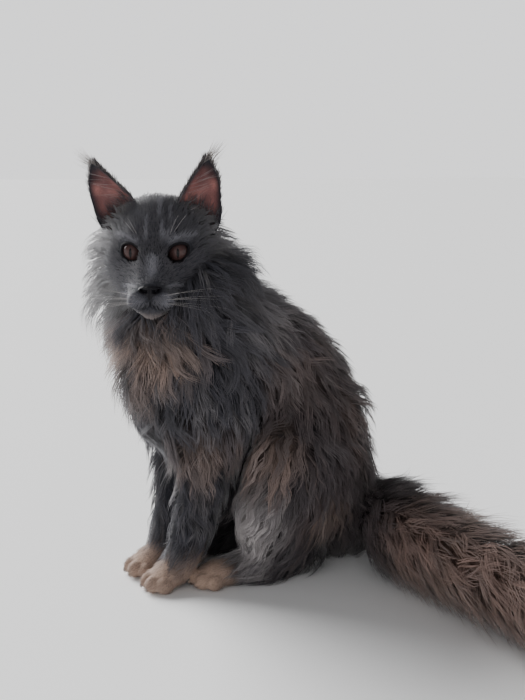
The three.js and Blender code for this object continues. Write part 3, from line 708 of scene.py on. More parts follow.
def face_marking_and_shade(points):
    """The head's colour: slate, darkest over the eyes, with painted shade towards the front of the
    face, and pale streaks, whisker pads and chin.
    """
    x, y, z = points.T
    side = np.abs(x)

    def near(line, width):
        """1 on a line of the face, fading over a width beside it."""
        return bell(line_distance(side, z, line), width)

    tint = mixed(marking_and_shade(on_head(points)), SLATE, 0.85 * step_up(-y, -30, 0))
    # painted shade: the face grows darker towards its front
    tint = tint * (1 - 0.2 * step_up(-y, -20, 20))[:, None]
    hood = np.exp(-(np.hypot(side / 31, (z - 11) / 11) ** 4)) * step_up(-y, 0, 10)
    streak = step_up(mottle(points * [1.6, 0.3, 0.5], 5, 4), 0.45, 0.8)
    brow = step_up(z, 14, 24) * step_up(-y, -30, 10) * step_up(20 - side, 0, 12)
    bridge = bell(side, 4.5) * step_up(-y, 20, 36) * step_up(z, -16, -4)
    pad = bell(side - 13, 7) * bell(z + 27, 4.5) * step_up(-y, 30, 44)
    chin = step_up(-z, 36, 41) * step_up(-y, 28, 42) * step_up(20 - side, 0, 10)
    for colour, share in (
        (0.45 * SLATE, 0.75 * hood),
        (COOL_ASH, 0.25 * brow * streak),
        (COOL_ASH, 0.42 * bridge * step_up(10 - z, 0, 8)),
        (COOL_ASH, 0.3 * pad),
        *((COOL_ASH, 0.3 * near(line, 1.4) * step_up(-y, 25, 35)) for line in PAD_LINES),
        (CHIN_PALE, 0.32 * chin),
        (COOL_ASH, 0.28 * near(BROW_LINE, 2)),
        (0.5 * SLATE, 0.7 * near(EYE_LINE, 2) * step_up(-y, 0, 10)),
        (0.4 * SLATE, 0.6 * near(LIP_LINE, 2.2) * step_up(-y, 26, 36)),
    ):
        tint = mixed(tint, colour, share)
    return tint


flat_head = head_points.reshape(-1, 3)
head = make_piece(
    "head_skin", on_head(flat_head), ring_faces(*HEAD_SHAPE), hide_material,
    tint=SKIN_SHADE * face_marking_and_shade(flat_head), weld=True,
)
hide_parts("head")
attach(head, "root")


# The eyes: two moist balls with a dull copper iris and an upright slit pupil. The clear front
# bulges a little, and the iris is darker round its edge.

EYE_RINGS, EYE_COLUMNS = 60, 80
EYE_BULGE = 0.7
IRIS_RADIUS = 9.8
PUPIL_SLIT = np.array([1.3, 4.4])
IRIS_INNER = paint("4b3735")
IRIS_OUTER = paint("2c2020")
EYE_DARK = paint("0c0a0c")
EYE_WHITE = paint("5a4a48")


def eye_ball():
    """A ball whose rings open from the pupil, bulged near it as a bell curve of the angle."""
    angle, turn = np.linspace(0, np.pi, EYE_RINGS)[:, None], full_turn(EYE_COLUMNS)
    radius = EYE_RADIUS - 0.5 + EYE_BULGE * bell(angle, 0.55)
    x = radius * np.sin(angle) * np.cos(turn)
    z = radius * np.sin(angle) * np.sin(turn)
    y = np.broadcast_to(-radius * np.cos(angle), x.shape)
    return np.stack([x, y, z], -1).reshape(-1, 3)


def iris_tint(points):
    """Rays of two browns round a dark slit, with a dark rim, fading into the white."""
    x, _, z = points.T
    out = np.hypot(x, z)
    ray = mottle(np.stack([np.arctan2(z, x) * 26, out * 0.8, out * 0], -1), 1, 5)
    tint = mixed(IRIS_INNER, IRIS_OUTER, step_up(out, 2, 8) * 0.7 + 0.5 * ray - 0.15)
    slit = np.hypot(x / PUPIL_SLIT[0], z / PUPIL_SLIT[1])
    tint = mixed(tint, EYE_DARK, 1 - step_up(slit, 0.85, 1.1))
    tint = mixed(tint, EYE_DARK, 0.85 * step_up(out, IRIS_RADIUS - 1.6, IRIS_RADIUS))
    return mixed(tint, EYE_WHITE, step_up(out, IRIS_RADIUS + 0.2, IRIS_RADIUS + 1))


eye_material = new_material("moist eye", {
    "Roughness": 0.1, "Specular IOR Level": 0.12, "Coat Weight": 0.12, "Coat Roughness": 0.02,
})
nodes = wired(eye_material, {"tint": ("Attribute", {})}, [("tint", "Color", SHADER, "Base Color")])
nodes["tint"].attribute_name = "tint"
ball = eye_ball()
for side_name, side in SIDES:
    eye = make_piece(
        f"eyeball_{side_name}", on_head(from_eye(ball, side)),
        ring_faces(EYE_RINGS, EYE_COLUMNS)[:, ::side], eye_material,
        tint=iris_tint(ball), weld=True,
    )
    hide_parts(f"eye_{side_name}")
    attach(eye, "root")


# The eyelids: thin rims of bare dark skin round each almond opening. They lie on the ball and
# run out under the fur of the face.

LID_SKIN = paint("131114")
# from inside the opening to under the fur: distance outward, height over the ball
LID_PROFILE = [[-0.5, -1], [-0.3, 0.1], [0, 0.6], [0.5, 1], [1.2, 1.35], [2, 1.3], [2.8, 0.4]]
LID_ROWS, LID_COLUMNS = 26, 96
TEAR_CORNER = 1.8  # how far the opening runs on towards the nose
FACE_FROM = 60  # the head's rings from this one on are the face's
NEAREST_POINTS = 6


def face_depth(across, up):
    """How far forward the face lies at places seen from the front, from its nearest points.

    Their depths are weighted by 1 / (distance + 0.2) ** 2.
    """
    near = face_points[FACE_FROM:].reshape(-1, 3)
    near = near[near[:, 1] < 0]
    away = np.hypot(near[:, 0] - across[:, None], near[:, 2] - up[:, None])
    closest = np.argpartition(away, NEAREST_POINTS, axis=1)[:, :NEAREST_POINTS]
    weight = 1 / (np.take_along_axis(away, closest, 1) + 0.2) ** 2
    return (near[closest, 1] * weight).sum(1) / weight.sum(1)


def lid_rim(side):
    """Rings round the almond, from inside the opening outward.

    The opening's edge is x = width * cos, z = height * sin * |sin| ** 0.2, turned by the slant,
    and a bell curve of the turn draws its inner end out to the tear corner. Each ring lies on
    the ball raised by the profile's height, or as far before the face where that is nearer.
    The last ring meets the first again, under the rim.
    """
    turn = full_turn(LID_COLUMNS)
    profile = run_through(LID_PROFILE, np.linspace(0, 1, LID_ROWS))
    wide, high = EYE_OPENING / 2
    upright = high * np.sin(turn) * np.abs(np.sin(turn)) ** 0.2
    edge = np.stack([wide * np.cos(turn) - TEAR_CORNER * bell(turn - np.pi, 0.3), upright], -1)
    ring = edge + profile[:, None, :1] * np.stack([np.cos(turn), np.sin(turn)], -1)
    x, z = np.moveaxis(ring @ turned(LID_SLANT, "z")[:2, :2].T, -1, 0)
    radius = EYE_RADIUS + profile[:, 1:]
    y = -np.sqrt(np.maximum(radius**2 - x**2 - z**2, 9))
    on_ball = from_eye(np.stack([x, y, z], -1), side)
    depth = face_depth(on_ball[..., 0].ravel(), on_ball[..., 2].ravel()).reshape(x.shape)
    depth -= profile[:, 1:] - LID_THICK + 0.1
    before = np.minimum(depth - on_ball[..., 1], 0)
    on_ball[..., 1] += before * step_up(profile[:, :1], 0, 1.2)
    return np.concatenate([on_ball, on_ball[:1]]).reshape(-1, 3)


skin_material = hair_material("bare dark skin", 0.65, 0, 0.15, gloss=0.12)
for side_name, side in SIDES:
    rim = lid_rim(side)
    lids = make_piece(
        f"eyelids_{side_name}", on_head(rim), ring_faces(LID_ROWS + 1, LID_COLUMNS)[:, ::side],
        skin_material, tint=np.broadcast_to(LID_SKIN, rim.shape), weld=True,
    )
    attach(lids, "root")


# The nose leather: a damp charcoal pad, wide at the top and narrow at its foot, with a fine
# grain. Its nostrils curl outward, and a groove runs down its middle.

NOSE_HEIGHT = -18.5
NOSE_LEATHER = np.array([10.4, 3.2, 8.6])  # half width, height over the middle, depth below it
NOSE_PROUD = 1.5
NOSTRIL_DEPTH, NOSTRIL_WIDTH = 3.8, 1.1
CLEFT_DEPTH, CLEFT_WIDTH = 0.8, 0.8  # the groove down the middle
NOSE_BACK = 6  # how far the last rings go back into the muzzle
NOSE_RINGS, NOSE_COLUMNS = 40, 96
PAD_EDGE = 0.8  # the share of the rings that lies on the face; the rest goes back into it
LEATHER_DARK = paint("0e0d11")
LEATHER_PALE = 1.9 * LEATHER_DARK


def capped(surface):
    """The surface with its first and last rings closed, each by a fan of faces to its middle."""
    first, last = (np.broadcast_to(surface[k].mean(0), surface[k].shape) for k in (0, -1))
    return np.concatenate([first[None], surface, last[None]])


def nose_width(drop):
    """The pad's half width at a share of the way to its foot: it shrinks smoothly by 0.72."""
    return NOSE_LEATHER[0] * (1 - 0.72 * step_up(drop, 0.1, 0.8))


def nose_pad():
    """Rings from the middle of the pad to its edge, and then back into the muzzle.

    From the front the edge is a low arch above, height * sin ** 0.8, and is drawn in to a narrow
    foot below. The pad swells a little over the face. The nostrils are pressed in as bell curves
    of the distance from a short line, and the groove as one of the distance from the middle.
    """
    turn = full_turn(NOSE_COLUMNS)
    share = np.linspace(0, 1, NOSE_RINGS)[:, None]
    spread = np.minimum(share / PAD_EDGE, 1)
    rise = np.sin(turn)
    _, above, below = NOSE_LEATHER
    x = nose_width(np.maximum(-rise, 0)) * np.cos(turn) * spread
    z = np.where(rise > 0, above * np.abs(rise) ** 0.8, below * rise) * spread + NOSE_HEIGHT
    side = np.abs(x)
    depth = face_depth(x.ravel(), z.ravel()).reshape(x.shape)
    y = depth - NOSE_PROUD * (1 - 0.5 * spread**4)
    y += NOSTRIL_DEPTH * bell(line_distance(side, z, NOSTRIL_LINE), NOSTRIL_WIDTH)
    y += CLEFT_DEPTH * bell(side, CLEFT_WIDTH) * step_up(1.5 - z + NOSE_HEIGHT, 0, 2)
    y += NOSE_BACK * np.maximum(share - PAD_EDGE, 0) / (1 - PAD_EDGE)
    return capped(np.stack([x, y, z], -1)).reshape(-1, 3)


leather_material = new_material("damp nose leather", {
    "Roughness": 0.46, "Specular IOR Level": 0.16,
})
wired(leather_material, {
    "place": ("TexCoord", {}),
    "grain": ("TexVoronoi", {"Scale": 1300}),
    "cloud": ("TexNoise", {"Scale": 300}),
    "colour": ("MixRGB", {"Color1": (*LEATHER_DARK, 1), "Color2": (*LEATHER_PALE, 1)}),
    "bump": ("Bump", {"Distance": 0.0004, "Strength": 0.35}),
}, [
    ("place", "Object", "grain", "Vector"),
    ("place", "Object", "cloud", "Vector"),
    ("cloud", "Fac", "colour", "Fac"),
    ("colour", "Color", SHADER, "Base Color"),
    ("grain", "Distance", "bump", "Height"),
    ("bump", "Normal", SHADER, "Normal"),
])
nose_leather = make_piece(
    "nose_leather", on_head(nose_pad()), ring_faces(NOSE_RINGS + 2, NOSE_COLUMNS),
    leather_material, weld=True,
)
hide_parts("nose")
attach(nose_leather, "root")


# The ears: tall cups of thin cartilage, set wide and upright, with rounded rims. Inside they are
# bare and reddish, and outside they carry short grey fur.

EAR_ROOT = np.array([35, 4, 36])
EAR_LEAN = {"left": np.radians(-7), "right": np.radians(7)}
EAR_WALL = 2.2
EAR_INNER = [[15, -2, 36], [20, -4, 52], [33, -4, 68], [43, -3, 79], [49.5, -1, 86]]
EAR_OUTER = [[39, 12, 8], [54, 9, 28], [58, 6, 50], [58, 4, 70], [52, 1, 86.5]]
EAR_BOWL = [[15], [16], [13], [8], [2]]
EAR_ROWS, EAR_COLUMNS = 60, 30
EAR_PINK = paint("a9716b")
EAR_SHADE = paint("3f2b30")


def ear_place(points, lean, side):
    """Leans an ear outward from its root, and mirrors it to its side."""
    return ((points - EAR_ROOT) @ turned(lean, "y").T + EAR_ROOT) * [side, 1, 1]


def ear_sheet(places, shares, offset):
    """The ear's sheet, in the left ear's frame, and the way out behind it.

    A point is on the line from the inner edge to the outer one, moved rearward by the bowl's
    depth times the sine of half a turn to the power 0.8, and by an offset.
    """
    inner, outer, bowl = (run_through(edge, places) for edge in (EAR_INNER, EAR_OUTER, EAR_BOWL))
    along = unit(np.gradient((inner + outer) / 2, axis=0))
    rear = unit(np.cross(along, outer - inner))[:, None]
    deep = bowl * np.sin(np.pi * np.clip(shares, 0, 1)) ** 0.8
    point = inner[:, None] + (outer - inner)[:, None] * shares[None, :, None]
    return point + rear * (deep + offset)[..., None], np.broadcast_to(rear, point.shape)


def ear_shell():
    """Both faces of the ear as one closed loop for each height, thinned out to a round rim."""
    places = np.linspace(0, 1, EAR_ROWS)
    round_rim = 0.5 - 0.5 * np.cos(np.linspace(0, np.pi, EAR_COLUMNS))
    wall = EAR_WALL * (1 - 0.45 * places)[:, None] / 2
    thin = wall * np.sqrt(np.maximum(1 - (2 * round_rim - 1) ** 2, 0)) ** 0.5
    back, front = (ear_sheet(places, round_rim, offset)[0] for offset in (thin, -thin))
    return capped(np.concatenate([back, front[:, -2:0:-1]], axis=1))


def ear_tint(shell):
    """Grey behind, and reddish skin inside, with dark fur on the rim and painted shade in the bowl
    towards the root and the tip.
    """
    rows, columns = shell.shape[:2]
    inside = np.zeros(columns)
    inside[EAR_COLUMNS + 1:columns - 2] = 1
    height = np.linspace(0, 1, rows)[:, None]
    flat = shell.reshape(-1, 3)
    bare = mixed(np.broadcast_to(EAR_PINK, flat.shape), EAR_SHADE, mottle(flat, 9, 6))
    # painted shade in the bowl: darker towards its root and its tip
    dark = np.broadcast_to(0.25 + 0.75 * bell(height - 0.5, 0.32), (rows, columns)).ravel()
    across = np.concatenate([np.zeros(EAR_COLUMNS), np.linspace(1, 0, columns - EAR_COLUMNS)])
    rim = step_up(np.minimum(across, 1 - across), 0.04, 0.3) * step_up(1 - height, 0.04, 0.34)
    bare = mixed(np.broadcast_to(0.7 * SLATE, flat.shape), bare * dark[:, None], rim.ravel())
    return mixed(np.broadcast_to(SLATE, flat.shape), bare, np.tile(inside, rows))


ear_material = hair_material("ear skin", 0.5, 0.05, 0.2)
ear_shells = ear_shell()
for side_name, side in SIDES:
    shell = ear_place(ear_shells.reshape(-1, 3), EAR_LEAN[side_name], side)
    ear = make_piece(
        f"ear_shell_{side_name}", on_head(shell), ring_faces(*ear_shells.shape[:2])[:, ::side],
        ear_material, tint=ear_tint(ear_shells), weld=True,
    )
    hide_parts(f"ear_{side_name}")
    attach(ear, "root")


# The long coat: silky guard hair in tufts over the whole body, longest on the bib, the haunches
# and the tail. Neighbouring tufts gather into locks. Each tuft is a thin three-sided blade that
# is rooted in the hide, rises through the underwool and lies along the body.

BEADS_PER_SPAN = 4
BEAD_BLEND = 5
ROOT_SUNK = 1
TUFT_WIDTHS = [0.7, 1, 0.72, 0.36]  # at even places from the root to just before the tip
MAP_PATCH = 0.003  # a tuft's size on the coat's map
MAP_TILES = 4
LEADER_STEPS = 10
LOOSE = 0.12  # the part of the tufts that stands out of its lock
LOCK_TINT = 0.7  # how much of a tuft's colour is that of its lock
TUFT_FLOOR = 0.8  # no tuft comes nearer to the floor than this
REAR_REACH = 92  # tips that reach farther back than this are pressed in by half of what is over
COAT_GLOW = 0.25  # how much paler than its colour a tuft's tip is: partly the hair's own, partly painted light where tips catch it
# tips turn ashen, partly in their own pale colour and partly as a painted highlight
TIP_ASH_AND_LIGHT = paint("a29da1")
TIP_SHARE = 0.14
BELLY_SHARE = 0.6  # the tufts between the legs are fewer
SPARSER, WIDER = ((1, 1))
ANYWHERE = (0, -1e3, 1e3)
# piece: forms, the part of them it covers (axis, from, to), tufts, length and width of a tuft,
# steps, tufts in a lock, firmness, and the material slot
COAT = {
    "coat_neck": (["neck"], ANYWHERE, 4600, 42, 0.85, 3, 14, 0.4, "coat_dark"),
    "coat_bib": (["bib"], ANYWHERE, 7500, 52, 0.9, 4, 46, 0.82, "coat_fawn"),
    "coat_chest": (["trunk"], (1, -1e3, -62), 6500, 36, 0.85, 3, 12, 0.3, "coat_dark"),
    "coat_back": (["trunk"], (1, -62, 1e3), 8600, 36, 0.85, 3, 12, 0.3, "coat_dark"),
    "coat_flanks": (
        ["flank_left", "flank_right"], ANYWHERE, 1600, 40, 0.85, 3, 12, 0.4, "coat_dark",
    ),
    "coat_haunch_left": (["thigh_left"], ANYWHERE, 4500, 50, 0.85, 6, 14, 0.66, "coat_fawn"),
    "coat_haunch_right": (["thigh_right"], ANYWHERE, 2900, 50, 1.1, 3, 16, 0.6, "coat_fawn"),
    "coat_skirt_left": (["shank_left"], ANYWHERE, 1800, 62, 0.9, 5, 14, 0.6, "coat_fawn"),
    "coat_skirt_right": (["shank_right"], ANYWHERE, 900, 62, 1.2, 4, 14, 0.6, "coat_fawn"),
    "coat_foreleg_left": (["foreleg_left"], ANYWHERE, 4000, 26, 0.8, 3, 10, 0.35, "coat_dark"),
    "coat_foreleg_right": (["foreleg_right"], ANYWHERE, 2700, 26, 0.9, 3, 10, 0.35, "coat_dark"),
    "coat_tail_base": (["tail"], (0, -1e3, 160), 6200, 52, 0.9, 3, 12, 0.2, "coat_tail"),
    "coat_tail_end": (["tail"], (0, 160, 1e3), 6000, 54, 0.9, 3, 12, 0.2, "coat_tail"),
}
# form: sway and waves along a lock, how high its tips lie as shares of the coat's depth, how far
# it fans out from the cat's middle, how far its tufts stray as a share of the coat's depth, and
# how far locks turn aside
HABIT = {
    "neck": (0.5, 1, (0.75, 1.25), 0.5, 0.1, 0.35),
    "bib": (0.6, 0.8, (0.7, 1.28), 0.7, 0.06, 0.45),
    "trunk": (0.5, 1.2, (0.75, 1.04), 0, 0.11, 0.4),
    "flank": (0.6, 1.2, (0.75, 1.04), 0, 0.11, 0.35),
    "thigh": (1, 1.9, (0.75, 1.12), 0, 0.08, 0.25),
    "shank": (0.8, 1.4, (0.9, 1.6), 0.2, 0.07, 0.25),
    "foreleg": (0.4, 1, (0.7, 1.25), 0, 0.1, 0.3),
    "tail": (0.4, 0.8, (0.86, 1.04), 0, 0.09, 0.3),
}

bead_parts = []
for number, (table, side, _, along_share, lies) in enumerate(FORMS.values()):
    places = np.linspace(0, 1, BEADS_PER_SPAN * (len(table) - 1) + 1)
    centre, axes, size = stations_along(table, side, places)
    lie = unit(along_share * axes[..., 2] + np.linspace(*np.array(lies, float), len(places)))
    reach = np.stack([size[:, 0], size[:, 1], size[:, :2].min(1)], -1)
    numbers = np.full(len(places), number)
    bead_parts.append((centre, axes, reach, lie, size[:, 2], places, numbers))
bead_centre, bead_axes, bead_reach, bead_lie, bead_coat, bead_place, bead_form = (
    np.concatenate(column) for column in zip(*bead_parts)
)


def coat_at(points):
    """Each point's height over the flesh, way out, coat's lie and depth, bead, and turn round it.

    Each form is a string of ellipsoid beads. A point's height over a bead is its distance from
    the centre in bead radii, less 1, times the smallest radius. Ways out, lies and depths are
    those of the nearby beads, weighted by the exponential of the height that each is past the
    lowest.
    """
    found = []
    for part in np.array_split(points, max(1, len(points) // 4000)):
        local = np.einsum("nbi,bij->nbj", part[:, None] - bead_centre, bead_axes) / bead_reach
        height = (np.linalg.norm(local, axis=-1) - 1) * bead_reach.min(1)
        closest, lowest = height.argmin(1), height.min(1)
        weight = np.exp((lowest[:, None] - height) / BEAD_BLEND)
        slope = unit(np.einsum("nbj,bij->nbi", local / bead_reach, bead_axes))
        here = local[np.arange(len(part)), closest]
        found.append((
            lowest, unit(np.einsum("nb,nbi->ni", weight, slope)), weight @ bead_lie,
            weight @ bead_coat / weight.sum(1), closest, np.arctan2(here[:, 1], here[:, 0]),
        ))
    return [np.concatenate(column) for column in zip(*found)]


def map_place(bead, turn):
    """Places on the coat's map: a tile for each form, across it the turn and up it the way."""
    place = np.stack([(turn / (2 * np.pi)) % 1, bead_place[bead]], -1)
    tile = np.stack(divmod(bead_form[bead], MAP_TILES)[::-1], -1)
    return (tile + 0.02 + 0.94 * place) / MAP_TILES


def along_skin(direction, out):
    """The part of a direction that is square to the way out, as a direction."""
    return unit(direction - out * (direction * out).sum(1, keepdims=True))


def scatter(points, faces, weight, count):
    """Random roots over a mesh: faces drawn by area times weight, and even places on each.

    The shares of a face's corners are 1 - a, a * (1 - b) and a * b, where a is the root of a
    random number and b is another one. Returns the roots, their normals, faces and shares.
    """
    corners = points[faces]
    face_normal = np.cross(corners[:, 1] - corners[:, 0], corners[:, 2] - corners[:, 0])
    grown = np.cumsum(np.linalg.norm(face_normal, axis=1) * weight)
    pick = np.searchsorted(grown, chance.random(count) * grown[-1])
    first, second = np.sqrt(chance.random(count)), chance.random(count)
    share = np.stack([1 - first, first * (1 - second), first * second], -1)
    return (corners[pick] * share[..., None]).sum(1), unit(face_normal[pick]), pick, share


def combed(roots, length, top, sway, waves, phase, aside_by, fan):
    """The leading hairs of locks, which lie along the body.

    At each step a hair is lifted to its height, which goes from the hide's to a share of the
    coat's depth as the way along to the power 0.6. It then moves on along the lie, which fans
    out from the cat's middle, turned to one side by a fixed amount and by a sway that goes as
    the cosine. Its heading is 0.3 of the last one and 0.7 of this.
    """
    point = roots.copy()
    heading = start = None
    spine, outs = [], []
    for step in range(LEADER_STEPS + 1):
        way = step / LEADER_STEPS
        height, out, lie, coat, *_ = coat_at(point)
        start = height if start is None else start
        target = start + (top * coat - start) * way**0.6
        point = point + out * (target - height)[:, None]
        point[:, 2] = np.maximum(point[:, 2], 1)
        flat = along_skin(lie + out * [fan, 0, 0], out)
        turn = aside_by + sway * np.cos(2 * np.pi * waves * way + phase)
        flat = unit(flat + np.cross(out, flat) * turn[:, None])
        heading = flat if heading is None else unit(0.3 * heading + 0.7 * flat)
        spine.append(point.copy())
        outs.append(out)
        point = point + heading * (length / LEADER_STEPS)[:, None]
    return np.stack(spine, 1), np.stack(outs, 1)


def nearest(points, middles):
    """The number of the nearest middle to each point."""
    parts = np.array_split(points, max(1, len(points) // 2000))
    return np.concatenate([
        np.linalg.norm(part[:, None] - middles, axis=-1).argmin(1) for part in parts
    ])


def in_locks(roots, middles, leader, outs, firm, spread, steps):
    """The spines of tufts that follow the leading hairs of their locks.

    A tuft is its leader read at even places up to the tuft's own share of the length, and moved
    to the tuft's root. It is drawn in to the leader by firmness * way ** 1.3, and strays by
    spread * way in a random direction, most of it shared with its nearest neighbours. Loose
    tufts are longer, held less and stray more.
    """
    count = len(roots)
    owner = nearest(roots, roots[middles])
    few = chance.choice(count, max(1, count // 6), replace=False)
    bundle = nearest(roots, roots[few])
    loose = chance.random(count) < LOOSE
    share = chance.uniform(0.65, 1, count) * np.where(loose, 1.08, 1)
    way = np.linspace(0, 1, steps + 1)[None, :, None]
    place = np.minimum(way[..., 0] * share[:, None], 0.999) * LEADER_STEPS
    before = place.astype(int)
    part = (place - before)[..., None]
    line, out = (
        each[owner[:, None], before] * (1 - part) + each[owner[:, None], before + 1] * part
        for each in (leader, outs)
    )
    hold = 1 - np.where(loose, 0.2, firm)[:, None, None] * way**1.3
    stray = chance.normal(0, 1, (len(few), 3))[bundle] + 0.5 * chance.normal(0, 1, (count, 3))
    stray *= (spread * np.where(loose, 1.6, 1))[:, None]
    spine = line + (roots - leader[owner, 0])[:, None] * hold + stray[:, None] * way
    spine[:, 0] -= ROOT_SUNK * out[:, 0]
    return spine, unit(out), owner, loose


def blades(spine, outs, width, thick):
    """Three-sided blades along spines: points, faces, and the way and turn of a blade's points.

    A ring has two edges across the spine and a ridge over it. The last place is a single point.
    """
    count, levels = spine.shape[:2]
    along = unit(np.gradient(spine, axis=1))
    across = unit(np.cross(outs, along))
    ridge = np.cross(along, across)[:, :-1, None]
    ways = np.linspace(0, 1, levels)
    shape = np.interp(ways[:-1], np.linspace(0, 0.85, 4), TUFT_WIDTHS)[:, None, None]
    half = 0.5 * width[:, None, None, None] * shape
    deep = thick[:, None, None, None] * shape
    sides, lift = np.array([[1, 0, -1], [-0.4, 0.6, -0.4]])[..., None]
    rings = spine[:, :-1, None] + across[:, :-1, None] * half * sides + ridge * deep * lift
    points = np.concatenate([rings.reshape(count, -1, 3), spine[:, -1:]], 1)
    faces = [(0, 2, 1)]
    for level, edge in product(range(levels - 2), range(3)):
        a, b = 3 * level + edge, 3 * level + (edge + 1) % 3
        faces += [(a, b, b + 3), (a, b + 3, a + 3)]
    last, tip = 3 * (levels - 2), 3 * (levels - 1)
    faces += [(last + edge, last + (edge + 1) % 3, tip) for edge in range(3)]
    starts = np.arange(count)[:, None, None] * points.shape[1]
    way = np.append(np.repeat(ways[:-1], 3), 1)
    turn = np.append(np.tile([0, 0.5, 1], levels - 1), 0.5)
    return points.reshape(-1, 3), (np.array(faces) + starts).reshape(-1, 3), way, turn


def coat_piece(
    name, spine, outs, width, tint, place, material, root_shade, glow, flat=0.45, soft=True,
):
    """One piece of the coat: blades with their colours and their places on the map.

    The colour goes from painted shade at the root, deep in the coat, to a paler and ashen one at
    the tip. The paler tip is partly the hair's own colour and partly painted light where the tips
    catch it.
    flat is a blade's thickness as a share of its width. Soft blades are shaded as the coat's
    surface is, with normals along its way out, tipped to each side by the blade's own roundness.
    """
    points, faces, way, turn = blades(spine, outs, width, flat * width)
    shade = root_shade + (1 + glow - root_shade) * way**0.7
    tints = tint[:, None] * shade[None, :, None]
    tints = tints + (TIP_ASH_AND_LIGHT - tints) * (TIP_SHARE * way**2)[None, :, None]
    bake = place[:, None] + MAP_PATCH * np.stack([turn, way], -1)
    piece = make_piece(
        name, points, faces, material,
        tint=np.clip(tints, 0, 1).reshape(-1, 3), bake=bake.reshape(-1, 2),
    )
    if soft:
        across = unit(np.cross(outs, np.gradient(spine, axis=1)))[:, :-1, None]
        tipped = outs[:, :-1, None] + flat * across * np.array([1, 0, -1])[:, None]
        normals = unit(np.concatenate([tipped.reshape(len(outs), -1, 3), outs[:, -1:]], 1))
        piece.data.normals_split_custom_set_from_vertices(normals.reshape(-1, 3))
    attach(piece, "root")
    return piece


def within_head(points):
    """Where a point is at least 4 mm inside the head, by the half width of the nearest ring."""
    rings = head_points[::6]
    local = (points - HEAD_CENTRE) @ HEAD_POSE
    ring = rings[np.abs(local[:, 1:2] - rings[:, 0, 1]).argmin(1)]
    middle = ring.mean(1)
    size = np.linalg.norm(ring[:, 0] - middle, axis=1)
    return np.linalg.norm((local - middle) * [1, 0.2, 1], axis=1) < size - 4


form_names = list(FORMS)
hide_points, hide_faces = points_of(hide_mesh), triangles_of(hide_mesh)
face_middle = hide_points[hide_faces].mean(1)
*_, face_bead, _ = coat_at(face_middle)
buried = within_head(face_middle)
x, y, z = face_middle.T
density = np.where((np.abs(x) < 28) & (y < -20) & (z < 100), BELLY_SHARE, 1) * (z > 2)
coat_material = hair_material("silky guard hair", 0.7, 0.35, 0.08)
for name, (forms, (axis, low, high), count, length, width, steps, lock, firm, slot) in COAT.items():
    mine = np.isin(bead_form[face_bead], [form_names.index(form) for form in forms]) & ~buried
    mine &= (face_middle[:, axis] >= low) & (face_middle[:, axis] < high)
    count //= SPARSER
    roots, *_ = scatter(hide_points, hide_faces, mine * density, count)
    _, _, _, depth, bead, turn = coat_at(roots)
    middles = chance.choice(count, count * SPARSER // lock, replace=False)
    sway, waves, (lowest, highest), fan, stray, aside = HABIT[forms[0].split("_")[0]]
    locks = len(middles)
    leader, outs = combed(
        roots[middles], length * chance.uniform(0.8, 1.15, locks),
        chance.uniform(lowest, highest, locks), sway * chance.uniform(0.4, 1.4, locks),
        waves * chance.uniform(0.8, 1.2, locks), chance.uniform(0, 2 * np.pi, locks),
        chance.normal(0, aside, locks), fan,
    )
    spine, outs, owner, loose = in_locks(roots, middles, leader, outs, firm, stray * depth, steps)
    spine[..., 2] = np.maximum(spine[..., 2], TUFT_FLOOR)
    spine[..., 1] -= 0.5 * np.maximum(spine[..., 1] - REAR_REACH, 0)
    tint = mixed(marking_and_shade(roots), marking_and_shade(roots[middles])[owner], np.full(count, LOCK_TINT))
    tint *= chance.uniform(0.6, 1.35, (locks, 1))[owner] * chance.uniform(0.88, 1.12, (count, 1))
    widths = width * chance.uniform(0.65, 1.2, count) * np.where(loose, 0.6, 1) * WIDER
    piece = coat_piece(
        name, spine, outs, widths, tint, map_place(bead, turn), coat_material, COAT_DEPTH_SHADE,
        COAT_GLOW,
    )


# The fur of the paws: short and dense, lying towards the toes. It is rooted in their skin, and
# grows a little longer where the legs' coat begins.

PAW_TUFTS, PAW_HAIR_WIDTH = 7000, 0.7
# a tuft's length and rise where the coat has no depth, and what each millimetre of it adds
PAW_HAIR, PAW_HAIR_GAIN = 4.2, 1.4
PAW_RISE, PAW_RISE_GAIN = 0.35, 0.5
PAW_SUNK = 0.6
paw_material = hair_material("short paw fur", 0.7, 0.3, 0.04)
paw_points, paw_faces = points_of(paw_mesh), triangles_of(paw_mesh)
off_floor = 1.0 * (paw_points[paw_faces].mean(1)[:, 2] > 1.5)
count = PAW_TUFTS // SPARSER
roots, normal, *_ = scatter(paw_points, paw_faces, off_floor, count)
_, _, lie, depth, bead, turn = coat_at(roots)
lie = unit(lie - normal * (lie * normal).sum(1, keepdims=True) + chance.normal(0, 0.1, (count, 3)))
way = np.linspace(0, 1, 3)[:, None]
size = (PAW_HAIR + PAW_HAIR_GAIN * depth)[:, None, None] * chance.uniform(0.7, 1.1, (count, 1, 1))
rise = (PAW_RISE + PAW_RISE_GAIN * depth)[:, None, None]
spine = roots[:, None] + size * way * lie[:, None]
spine = spine + rise * (1 - (1 - way) ** 2) * normal[:, None]
spine[:, 0] -= PAW_SUNK * normal
spine[..., 2] = np.maximum(spine[..., 2], PAW_SUNK)
piece = coat_piece(
    "coat_paws", spine, np.broadcast_to(normal[:, None], spine.shape),
    PAW_HAIR_WIDTH * chance.uniform(0.7, 1.2, count) * WIDER,
    marking_and_shade(roots) * chance.uniform(0.95, 1.05, (count, 1)), map_place(bead, turn),
    paw_material, 0.95, 0.08, 0.2,
)


# The fur of the head: short and dense on the face, lying back from the nose, and long on the
# cheeks and nape, where it stands out as a ruff.

NOSE_TIP = np.array([0, -58, -18])
FACE_WIDTH = 0.52  # of a tuft
